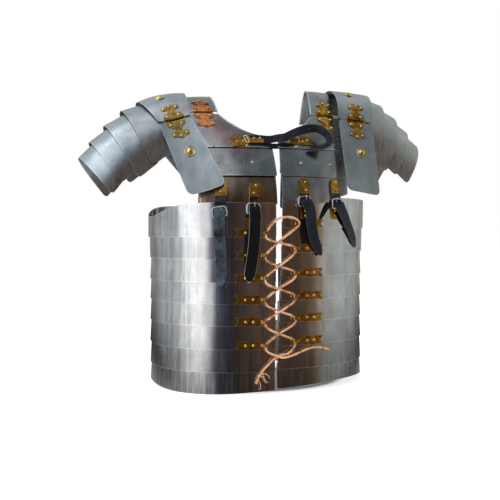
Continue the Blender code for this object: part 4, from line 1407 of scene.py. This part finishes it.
for side in SIDES:
    rows = []
    inner, outer = band_edges(side, 0)
    width = width_at(lambda across: guard_point(side, across, 0, 0))
    for across in ends_first(GUARD_ROWS, LAME_ENDS):
        inset = corner_inset(min(across, 1 - across) * width, GUARD_RADIUS) / (outer.radius * MM)
        front = guard_end(side, "front", across) + inset
        back = guard_end(side, "back", across) - inset
        points = []
        for column in ends_first(ARCH_COLUMNS, ARCH_ENDS):
            angle = mix(front, back, column)
            place = guard_point(side, across, angle, 0)
            points.append(guard_point(side, across, angle, wave(place, GUARD_SEED)))
        rows.append(points)
    inside = arm_inside(side, ARM_EDGES[side][1])
    sheet_piece(
        f"guard_top_plate_{side}", rows, inside, arm_steel, "armour", "mild_steel",
        [f"guard_top_{side}"],
    )
    for end in ("front", "back"):
        body = f"guard_strip_{end}_{side}"
        length = strip_length(side, end)
        rows = []
        for level in ends_first(STRIP_ROWS, STRIP_ENDS):
            along = mix(HINGE_GAP, length, level)
            width = width_at(lambda across: strip_point(side, end, across, along, 0))
            inset = corner_inset(length - along, STRIP_RADIUS)
            inset += corner_inset(along - HINGE_GAP, STRIP_UPPER_RADIUS)
            points = []
            for column in ends_first(STRIP_COLUMNS, STRIP_SIDES):
                across = mix(inset / width, 1 - inset / width, column)
                place = strip_point(side, end, across, along, 0)
                lift = wave(place, STRIP_SEED, STRIP_WAVE)
                points.append(strip_point(side, end, across, along, lift))
            rows.append(points)
        middle = strip_point(side, end, 0.5, length / 2, 0)
        inside = Vector((middle.x, 0, middle.z))
        sheet_piece(
            f"{body}_plate", rows, inside, arm_steel, body, "mild_steel", [f"guard_{end}_{side}"]
        )
        facing = -1 if end == "front" else 1

        def on_guard(across, along, off):
            """A point of the top plate, from the middle of its end and upwards."""
            angle = facing * (GUARD_ANGLE - along / (ARM_EDGES[side][1].radius * MM))
            part = 0.5 + across / width_at(lambda share: guard_point(side, share, angle, 0))
            skewed = angle + guard_end(side, end, part) - facing * GUARD_ANGLE
            return guard_point(side, part, skewed, off)

        def on_strip(across, along, off):
            """A point of the strip, from the middle of its end and downwards."""
            along += HINGE_GAP
            width = width_at(lambda share: strip_point(side, end, share, along, 0))
            return strip_point(side, end, 0.5 + across / width, along, off)

        made_of = olive_brass if (side, end) == ("right", "front") else yellow_brass
        inside = arm_inside(side, ARM_EDGES[side][1])
        name = f"guard_hinge_{end}_{side}"
        hinge_leaf(f"{name}_upper", on_guard, inside, made_of, "armour")
        hinge_leaf(f"{name}_lower", on_strip, inside, made_of, body, [name])
        ends = (-PIN_HALF_LENGTH, 0, PIN_HALF_LENGTH)
        points = [on_strip(across, -HINGE_GAP / 2, -STEEL / 2) for across in ends]
        bar_piece(f"{name}_pin", points, PIN_RADIUS, shade_painted_pin, body, 12)

    across, along = STRIP_BOSSES[side]

    def over_strip(off):
        return strip_point(side, "front", across, along * MM, off)

    boss(f"strip_boss_{side}", over_strip, f"guard_strip_front_{side}")
    across, angle = TOP_BOSSES[side]

    def over_guard(off):
        return guard_point(side, across, radians(angle), off)

    boss(f"guard_boss_{side}", over_guard, "armour")

# ------------------------------------------------------------------------------------- the straps
# Black waxed cow leather, 2.4 mm thick, with raw edges, pointed ends and punched holes. Each front
# strap is riveted under a brass plate, passes through a nickel buckle, and hangs over the girdle.
LEATHER = 2.4 * MM
# A strap's middle and its stand-off, its width, and how far it is twisted, in mm and degrees.
Stop = namedtuple("Stop", "x z off width turn", defaults=[0])
STRAPS = {
    "strap_outer_right": (
        Stop(-91.5, -180, 0.2, 19),
        Stop(-92, -195, 0.9, 18.5),
        Stop(-93, -206, 1.5, 18.5),
        Stop(-94.5, -213.5, 1.9, 18.5),
        Stop(-95.5, -219, 4.4, 19),
        Stop(-96, -226, 6.4, 19),
        Stop(-95.7, -240, 6.8, 19),
        Stop(-94.5, -270, 6.6, 19),
        Stop(-92.4, -297, 6.6, 19),
        Stop(-91.4, -326, 6.5, 17.5),
        Stop(-92.4, -336, 6.5, 13.5),
        Stop(-94, -345, 6.5, 6),
    ),
    "strap_inner_right": (
        Stop(-37, -180, 0.2, 16),
        Stop(-38, -196, 0.9, 14.7),
        Stop(-39, -203, 1.5, 14.7),
        Stop(-39.3, -208, 1.9, 15),
        Stop(-38.6, -213.5, 4.4, 17.5),
        Stop(-38.3, -221, 6.4, 19),
        Stop(-38, -238, 6.8, 19),
        Stop(-39.2, -270, 6.6, 19),
        Stop(-42, -297, 6.5, 19),
        Stop(-46, -322, 6.5, 18.5),
        Stop(-47.2, -331, 6.5, 14),
        Stop(-48, -338.5, 6.5, 5),
    ),
    "strap_inner_left": (
        Stop(50, -172, 4, 18),
        Stop(49, -188, 5.8, 18),
        Stop(48.5, -195, 6.4, 18),
        Stop(49.5, -201, 8.6, 18.5),
        Stop(52, -208, 10.6, 19),
        Stop(57, -219, 10.8, 19),
        Stop(60.5, -243, 8.2, 18.5),
        Stop(66.5, -267.5, 7, 18.5),
        Stop(73, -281, 6.6, 16.5),
        Stop(77, -288.5, 6.4, 11),
        Stop(80.5, -294.5, 6.4, 4.5),
    ),
    "strap_outer_left": (
        Stop(109.5, -172, 4, 19),
        Stop(109.5, -188, 5.8, 19.5),
        Stop(110.5, -198, 6.6, 20),
        Stop(113, -204, 8.8, 20),
        Stop(117, -211, 10.4, 20),
        Stop(128, -226, 7.4, 19.5),
        Stop(137, -240, 5, 19.5),
        Stop(148, -257, 4, 19),
        Stop(155, -269, 3.8, 18),
        Stop(158.5, -276.5, 3.8, 12),
        Stop(160.5, -282, 3.8, 5),
    ),
    "strap_collar": (
        Stop(-37, -97.8, 5, 12.5),
        Stop(-22, -97.5, 6, 12.5),
        Stop(-3, -98, 7.5, 12.5),
        Stop(11, -95.5, 9, 12.5),
        Stop(21, -94.5, 13.5, 13),
        Stop(31, -89.8, 15, 13.5, 5),
        Stop(43, -84.8, 17.5, 14.5, 10),
        Stop(55, -80.6, 20.5, 15, 15),
        Stop(68, -77.7, 24, 15, 28),
        Stop(82, -78.6, 26.5, 15, 45),
        Stop(93, -85, 27, 15, 62),
        Stop(100, -95, 26.5, 15, 78),
        Stop(97.5, -104.5, 23.5, 15, 72),
        Stop(87, -109.5, 18.5, 14.5, 60),
        Stop(75, -111, 14, 11, 50),
        Stop(65, -111.5, 11.5, 4.5, 42),
    ),
}
BACK_STRAPS = {"strap_back_right": -62, "strap_back_left": 112}
BACK_STRAP_STOPS = (
    Stop(0, -172, 0.6, 19),
    Stop(0, -184, 2, 18.5),
    Stop(0, -192, 3.4, 18.5),
    Stop(0, -199, 6.4, 19),
    Stop(0, -207, 8, 19),
    Stop(0, -225, 7, 19),
    Stop(0, -250, 6, 18.5),
    Stop(0, -262, 6, 13),
    Stop(0, -269, 6, 6),
)
# How far each hole is from the strap's far end, in mm.
STRAP_HOLES = {
    "strap_outer_right": (47, 76, 105),
    "strap_inner_right": (36, 70, 101),
    "strap_inner_left": (31, 56, 81),
    "strap_outer_left": (28, 51, 66),
    "strap_collar": (88, 117),
}
BACK_STRAP_HOLES = (20, 40)
STRAP_STEPS = 8
SLANT_REACH = 2
STRAP_ROW = 2.6 * MM
STRAP_EDGE = 0.5 * MM
END_LEATHER = 1.8 * MM
STRAP_COLUMNS = (-1, -0.94, -0.64, -0.28, 0, 0.28, 0.64, 0.94, 1)
HOLE_RADIUS = 1.2 * MM
HOLE_REACH = 2.7 * MM
HOLE_CLEAR = 1.5 * HOLE_REACH
HOLE_RIM = 0.3
# The rows and columns of the eight points round a hole, from its own.
ROUND_HOLE = ((-1, -1), (-1, 0), (-1, 1), (0, 1), (1, 1), (1, 0), (1, -1), (0, -1))
LEATHER_GRAIN = 0.9 * MM
WAX_CLOUD = 26.32 * MM
CLOUD_BLEND = 6 * MM


def strap_line(stops, behind=False):
    """The strap at close steps: the middle, the way across, and half the width."""
    back = 1 if behind else -1
    facings = []
    for stop in stops:
        ahead, beyond = (
            face_depth((stop.x + reach) * MM, stop.z * MM, behind)
            for reach in (-SLANT_REACH, SLANT_REACH)
        )
        slant = (ahead - beyond) / (2 * SLANT_REACH * MM)
        facings.append(Vector((slant, back, 0)).normalized())
    centres = [face_point(stop.x, stop.z, stop.off, behind) for stop in stops]
    forms = [Vector((radians(stop.turn), stop.width * MM / 2, 0)) for stop in stops]
    centres, facings, forms = (
        smooth_route(found, STRAP_STEPS) for found in (centres, facings, forms)
    )
    line = []
    for number, centre in enumerate(centres):
        run = centres[min(number + 1, len(centres) - 1)] - centres[max(number - 1, 0)]
        side_way = facings[number].cross(run).normalized()
        turn, half = forms[number].x, forms[number].y
        across = side_way * cos(turn) + run.cross(side_way).normalized() * sin(turn)
        line.append((centre, across, half))
    return line


def punch(mesh, rim, grid, row):
    """A round hole in the middle of a row of a strap's grid, where there are no faces yet."""
    middle = len(STRAP_COLUMNS) // 2
    centre = grid[row][middle].co.copy()
    around = [grid[row + down][middle + over] for down, over in ROUND_HOLE]
    mesh.verts.remove(grid[row][middle])
    cut = []
    for spot in around:
        edge = mesh.verts.new(centre + (spot.co - centre).normalized() * HOLE_RADIUS)
        edge[rim] = HOLE_RIM
        cut.append(edge)
    for corners in zip(around, around[1:] + around[:1], cut[1:] + cut[:1], cut):
        mesh.faces.new(corners)


def strap_piece(name, stops, material, nodes=(), holes=(), behind=False, thickness=LEATHER):
    """A strap along its stops with real punched holes, and the flat length of its cut."""
    line = strap_line(stops, behind)
    walked = lengths_along([centre for centre, _, _ in line])
    total = walked[-1]
    punched = [total - hole * MM for hole in holes]
    count = round(total / STRAP_ROW)
    levels = [total * step / count for step in range(count + 1)]
    levels = [level for level in levels if all(abs(level - hole) > HOLE_CLEAR for hole in punched)]
    levels += [hole + reach * HOLE_REACH for hole in punched for reach in (-1, 0, 1)]
    levels.sort()
    mesh = bmesh.new()
    rim = mesh.verts.layers.float.new("rim")
    grid = []
    for level in levels:
        reached = (number for number, length in enumerate(walked) if length >= level)
        after = max(1, next(reached, len(walked) - 1))
        part = (level - walked[after - 1]) / (walked[after] - walked[after - 1])
        centre, across, half = (mix(a, b, part) for a, b in zip(line[after - 1], line[after]))
        grid.append([mesh.verts.new(centre + across * half * column) for column in STRAP_COLUMNS])
    for row in grid:
        row[0][rim] = row[-1][rim] = 1.0
    for spot in grid[-1]:
        spot[rim] = 1.0
    middle = len(STRAP_COLUMNS) // 2
    rows_punched = [levels.index(hole) for hole in punched]
    for row, (upper, lower) in enumerate(zip(grid, grid[1:])):
        by_hole = row in rows_punched or row + 1 in rows_punched
        for column, corners in enumerate(zip(upper, upper[1:], lower[1:], lower)):
            if not (by_hole and column in (middle - 1, middle)):
                mesh.faces.new(corners)
    for row in rows_punched:
        punch(mesh, rim, grid, row)
    piece = new_piece(name, mesh, material, "armour", nodes)
    thicken(piece, thickness, 0, STRAP_EDGE)
    return piece, total


def waxed_leather(name, dark, light, raw, roughness, clouded_from=0.0):
    """Waxed strap leather: pebbled grain, lighter clouds below a height, raw edges."""
    material, tree, shader = new_shader(name, {"Specular IOR Level": 0.35})
    place = add(tree, "TexCoord", output="Object")
    wax = add(
        tree, "TexNoise", {"Vector": place},
        {"Scale": 1 / WAX_CLOUD, "Detail": 6.0, "Roughness": 0.6},
    )
    pebbles = add(tree, "TexVoronoi", {"Vector": place}, {"Scale": 1 / LEATHER_GRAIN})
    height = add(tree, "SeparateXYZ", {0: place}, output="Z")
    rim = add(tree, "Attribute", attribute_name="rim", output="Fac")
    clouds = add(tree, "MapRange", {0: wax}, {1: 0.35, 2: 0.68})
    reach = add(tree, "MapRange", {0: height}, {1: clouded_from, 2: clouded_from - CLOUD_BLEND})
    clouds = add(tree, "Math", {0: clouds, 1: reach}, operation="MULTIPLY")
    cut = add(tree, "MapRange", {0: rim}, {1: 0.35, 2: 0.8})
    colour = add(tree, "Mix", {0: clouds}, {6: dark, 7: light}, data_type="RGBA")
    colour = add(tree, "Mix", {0: cut, 6: colour}, {7: raw}, data_type="RGBA")
    rubbed = add(
        tree, "MapRange", {0: wax},
        {1: 0.35, 2: 0.65, 3: roughness + 0.12, 4: roughness - 0.08},
    )
    bump = add(tree, "Bump", {"Height": pebbles}, {"Strength": 0.25, "Distance": 0.12 * MM})
    join(shader, {"Base Color": colour, "Roughness": rubbed, "Normal": bump})
    return material


# Black leather, a duller one for what lies under the straps, one with a blue cast, and one with a
# painted grey sheen where it hangs free.
black_leather = waxed_leather(
    "waxed_black_leather", "#030305", "#08090d", raw="#8f8981", roughness=0.5
)
dark_leather = waxed_leather(
    "dull_black_leather", "#030305", "#090a0d", raw="#17120f", roughness=0.55
)
blue_leather = waxed_leather(
    "waxed_blue_black_leather", "#0b0f14", "#1d252f", raw="#42342e", roughness=0.34
)
# Painted sheen: grey clouds below a height stand for light on the strap's gloss.
sheen_painted_leather = waxed_leather(
    "grey_leather_painted_sheen", "#0b0e12", "#48545e", raw="#22262a", roughness=0.32, clouded_from=-0.209
)
STRAP_LEATHERS = {
    "strap_outer_right": sheen_painted_leather,
    "strap_inner_right": black_leather,
    "strap_inner_left": blue_leather,
    "strap_outer_left": blue_leather,
    "strap_collar": blue_leather,
}

# The end of each strap's fellow, riveted to the upper hoop of the girdle, shows under the strap.
GIRDLE_ENDS = {
    "strap_outer_right": (
        Stop(-93, -226, 2.2, 17),
        Stop(-93, -246, 2.5, 17),
        Stop(-92, -262, 3.2, 17),
    ),
    "strap_inner_right": (
        Stop(-45, -226, 2.2, 17),
        Stop(-46, -246, 2.6, 17),
        Stop(-46.5, -262, 3.2, 17),
        Stop(-47, -290, 3.4, 17),
        Stop(-46.5, -316, 3.6, 16),
    ),
    "strap_inner_left": (
        Stop(48.5, -213, 2.2, 19.5),
        Stop(49, -230, 2.4, 19.5),
        Stop(50.5, -246, 3, 18),
        Stop(52, -262, 2.8, 17.5),
        Stop(52.5, -275, 2.6, 17),
    ),
    "strap_outer_left": (
        Stop(98.5, -205, 6.5, 5.5),
        Stop(92, -214, 5, 5.5),
        Stop(84, -226, 3.6, 5),
        Stop(79, -233, 2.6, 4),
    ),
    # Partly a strap end, partly a painted shadow: the black band under the collar strap.
    "strap_collar": (
        Stop(-37, -108.5, 2.8, 9),
        Stop(-10, -109.5, 3, 9),
        Stop(20, -109.5, 3, 9),
        Stop(38, -108, 2.8, 9),
    ),
}

# ------------------------------------------------------------------- the buckles and strap plates
# Brass plates of 1 mm sheet with two dome rivets hold each strap's end. The buckles are bent from
# 2.5 mm nickel-plated wire, with rounded upper corners and a prong that turns on the upper bar.
# Where a plate starts and which way it runs, its length and half its width, its stand-off at both
# ends, its rivets along and across, the radii of its corners at both ends, whether the first ones
# are cut straight, and the depth of its swallow tail.
Fitting = namedtuple(
    "Fitting", "x z angle length half off spots corners cut tail", defaults=[False, 0]
)
FITTINGS = {
    "strap_outer_right": (
        Fitting(-91.8, -172, -90, 23.3, 9.4, (2.4, 2.8), ((4, 0), (15.6, 0)), (1.5, 1)),
        Fitting(-93, -231, -90, 21, 9, (4.4, 4.8), ((6, 0), (14.5, 0)), (1, 2.5)),
    ),
    "strap_inner_right": (
        Fitting(-35, -173.8, -92, 23, 9.4, (2.4, 2.8), ((3.8, 1.2), (16.6, -2.3)), (1.5, 1)),
        Fitting(-45, -231, -90, 21, 9, (4.4, 4.8), ((6, 0), (14.5, 0)), (1, 2.5)),
    ),
    "strap_inner_left": (
        Fitting(50.2, -164.4, -90, 26.6, 9.6, (5.3, 8.2), ((6.4, 1.6), (20.2, 1.6)), (3.4, 1)),
        Fitting(50, -211.5, -90, 22, 9.4, (4.4, 4.6), ((8.3, 0.2), (16.2, 0.6)), (1, 3)),
    ),
    "strap_outer_left": (
        Fitting(112, -163.4, -90, 25.6, 9.8, (5.2, 8), ((5.7, 0), (18.6, 0.4)), (5, 1), cut=True),
        Fitting(109.8, -211.5, -90, 22.2, 9.6, (2.6, 2.4), ((6.9, 0), (15.7, 0)), (1, 4)),
    ),
    "strap_collar": (
        Fitting(-42.2, -100.2, 188, 27, 8, (4.8, 4.8), ((6.2, 0.4), (17, 0.2)), (1, 0.6), tail=3.5),
        Fitting(-38.2, -98, 2, 24.4, 6.7, (7.4, 8), ((8.4, 1.2), (18.5, 1.6)), (1, 1.2)),
        Fitting(50, -98, 0, 24.5, 7.8, (4.4, 4.8), ((5.4, -2.4), (14.8, 0.5)), (1, 0.6), tail=3.5),
        Fitting(45.5, -98.5, 180, 17, 7, (4.4, 4.6), (), (1, 3)),
    ),
}
BACK_FITTINGS = (
    Fitting(0, -164, -90, 23, 9.4, (2.6, 4.2), ((6, 0), (16, 0)), (1.5, 1)),
    Fitting(0, -214, -90, 21, 9, (2.6, 2.8), ((6, 0), (15, 0)), (1, 2.5)),
)
FITTING_COLUMNS = (-1, -0.95, -0.6, -0.3, 0, 0.3, 0.6, 0.95, 1)
STRAP_RIVET_RADIUS = 2.3 * MM
STRAP_RIVET_HEIGHT = 1.7 * MM
FITTING_ROWS = 12
FITTING_ENDS = (0, 0.1, 0.3, 0.6)

# A buckle's middle and stand-off, its size and tilt, where its prong is, and whether that is shown
# over the strap or lies under it, in mm and degrees.
Buckle = namedtuple("Buckle", "x z off width height tilt prong shown")
BUCKLES = {
    "strap_outer_right": Buckle(-95, -221.5, 4.5, 23.5, 15.5, 7, 3.2, True),
    "strap_inner_right": Buckle(-40.2, -216, 4.5, 21, 16, 0, 2, True),
    "strap_inner_left": Buckle(48, -203.5, 8.8, 21, 16, 2, 3, True),
    "strap_outer_left": Buckle(111, -206.5, 8.9, 21.5, 16, 1, 0, False),
    "strap_collar": Buckle(23.5, -95.5, 10.2, 14, 13, -14, 0, False),
}
BACK_BUCKLE = Buckle(0, -200, 5.6, 21, 16, 0, 0, True)
WIRE = 1.25 * MM
UPPER_CORNER = 4.5
LOWER_CORNER = 2.2
CORNER_STEPS = 6
PRONG_TURNS = (200, 150, 100, 50, 10)
PRONG_ROLL = 2.0
# The prong's last points: how far down they are, and how far they stand out from the frame over a
# strap, or in from it under one.
PRONG_RUN = ((2.6, 1.4, -1.4), (5.8, 0.8, -0.4))
PRONG_STEPS = 3
PRONG_RADIUS = 1.05 * MM
PRONG_TIP = 0.65 * MM


def fitting(name, plan, behind=False):
    """A plate from its start at an angle, on the surface, with its rivets. Lengths are in mm."""
    turn = radians(plan.angle)

    def place(along, across, off):
        x = plan.x + along * cos(turn) - across * sin(turn)
        z = plan.z + along * sin(turn) + across * cos(turn)
        return face_point(x, z, off + mix(*plan.off, along / plan.length), behind)

    rows = []
    for part in ends_first(FITTING_ROWS, FITTING_ENDS):
        along = part * plan.length
        first, last = plan.corners
        inset = max(0.0, first - along) if plan.cut else corner_inset(along, first)
        half = plan.half - inset - corner_inset(plan.length - along, last)
        tail = plan.tail * max(0.0, part * 4 - 3)
        rows.append([
            place(along - tail * (1 - abs(across)), across * half, 0) for across in FITTING_COLUMNS
        ])
    sheet_piece(name, rows, Vector((0, 0, plan.z * MM)), strap_brass, "armour", "brass")
    spots = []
    for along, across in plan.spots:
        def above(off):
            return place(along, across, off / MM)

        spots.append((above(0), facing_at(above)))
    if spots:
        rivets(f"{name}_rivets", spots, STRAP_RIVET_RADIUS, STRAP_RIVET_HEIGHT, "armour")


def buckle(name, plan, behind=False):
    """A wire frame with rounded corners, and the prong that is rolled round its upper bar."""
    middle, end, start = (
        face_point(plan.x + reach, plan.z, plan.off, behind) for reach in (0, 5, -5)
    )
    across = (end - start).normalized()
    up = Vector((0, 0, 1))
    out = across.cross(up) * (-1 if behind else 1)
    tilt = radians(plan.tilt)
    across, up = across * cos(tilt) + up * sin(tilt), up * cos(tilt) - across * sin(tilt)

    def spot(right, above, front):
        return middle + (across * right + up * above + out * front) * MM

    corners = (
        (1, 1, UPPER_CORNER), (-1, 1, UPPER_CORNER), (-1, -1, LOWER_CORNER), (1, -1, LOWER_CORNER)
    )
    path = []
    for quarter, (right, above, radius) in enumerate(corners):
        for step in range(CORNER_STEPS + 1):
            angle = pi / 2 * (quarter + step / CORNER_STEPS)
            path.append(spot(
                right * (plan.width / 2 - radius) + radius * cos(angle),
                above * (plan.height / 2 - radius) + radius * sin(angle), 0,
            ))
    wire = bmesh.new()
    tube(wire, path, WIRE, sides=12, closed=True)
    bar = plan.height / 2
    prong = [
        spot(plan.prong, bar + PRONG_ROLL * sin(angle), PRONG_ROLL * cos(angle))
        for angle in map(radians, PRONG_TURNS)
    ]
    prong += [
        spot(plan.prong, bar - down, over if plan.shown else under)
        for down, over, under in PRONG_RUN
    ]
    tube(wire, smooth_route(prong, PRONG_STEPS), PRONG_RADIUS, PRONG_TIP)
    return new_piece(name, wire, nickel_wire, "armour")


# The strap plates' brass is redder in its dark patches.
strap_brass = brass_sheet("strap_plate_brass", "#e0aa48", "#a06a24", roughness=0.28)
# Nickel plating on bright wire: pale and glossy, dulled by fine scratches.
NICKEL = "#e6e6e2"
SCRATCH = 2.381 * MM
nickel_wire, tree, shader = new_shader(
    "nickel_plated_wire", {"Metallic": 1.0, "Base Color": NICKEL}
)
place = add(tree, "TexCoord", output="Object")
scratches = add(tree, "TexNoise", {"Vector": place}, {"Scale": 1 / SCRATCH, "Detail": 3.0})
dulled = add(tree, "MapRange", {0: scratches}, {1: 0.3, 2: 0.7, 3: 0.12, 4: 0.28})
bump = add(tree, "Bump", {"Height": scratches}, {"Strength": 0.2, "Distance": 0.03 * MM})
join(shader, {"Roughness": dulled, "Normal": bump})

for name, stops in STRAPS.items():
    strap, length = strap_piece(
        f"{name}_leather", stops, STRAP_LEATHERS[name], [name], STRAP_HOLES[name]
    )
    girdle_end, _ = strap_piece(
        f"{name}_end", GIRDLE_ENDS[name], dark_leather, thickness=END_LEATHER
    )
    for number, plan in enumerate(FITTINGS[name]):
        fitting(f"{name}_plate_{number + 1}", plan)
    buckle(f"{name}_buckle", BUCKLES[name])
    width = max(stop.width for stop in stops) * MM
for name, x in BACK_STRAPS.items():
    stops = [stop._replace(x=x) for stop in BACK_STRAP_STOPS]
    strap, length = strap_piece(
        f"{name}_leather", stops, black_leather, [name], BACK_STRAP_HOLES, behind=True
    )
    for number, plan in enumerate(BACK_FITTINGS):
        fitting(f"{name}_plate_{number + 1}", plan._replace(x=x), behind=True)
    buckle(f"{name}_buckle", BACK_BUCKLE._replace(x=x), behind=True)
    width = max(stop.width for stop in stops) * MM

# The rings that join the collar strap's plates, one at each side of the neck, bent from brass wire:
# their upper and lower outer corners, and how far in the others lie, in mm.
pale_brass = brass_sheet("pale_ring_brass", "#f2e2a8", "#c8ae6e", roughness=0.18)
ring_brass = brass_sheet("ring_brass", "#e2b48a", "#b98558", roughness=0.2)
Ring = namedtuple("Ring", "upper lower inward material")
RINGS = (
    Ring((-42.2, -92.4, 7.4), (-38.6, -103.8, 7.8), 4.5, pale_brass),
    Ring((48.9, -92.9, 5.6), (48.8, -102.6, 5.4), 4, ring_brass),
)
RING_SINK = 3.4
RING_RADIUS = 1.1 * MM
RING_PARTS = (0.12, 0.5, 0.88)
for number, plan in enumerate(RINGS):
    corners = [plan.upper, plan.lower]
    corners += [(x - plan.inward, z, off - RING_SINK) for x, z, off in (plan.lower, plan.upper)]
    loop = [face_point(*corner) for corner in corners]
    path = []
    for spot, after in zip(loop, loop[1:] + loop[:1]):
        path += [mix(spot, after, part) for part in RING_PARTS]
    bar_piece(
        f"strap_collar_ring_{number + 1}", path, RING_RADIUS, plan.material, "armour",
        closed=True,
    )
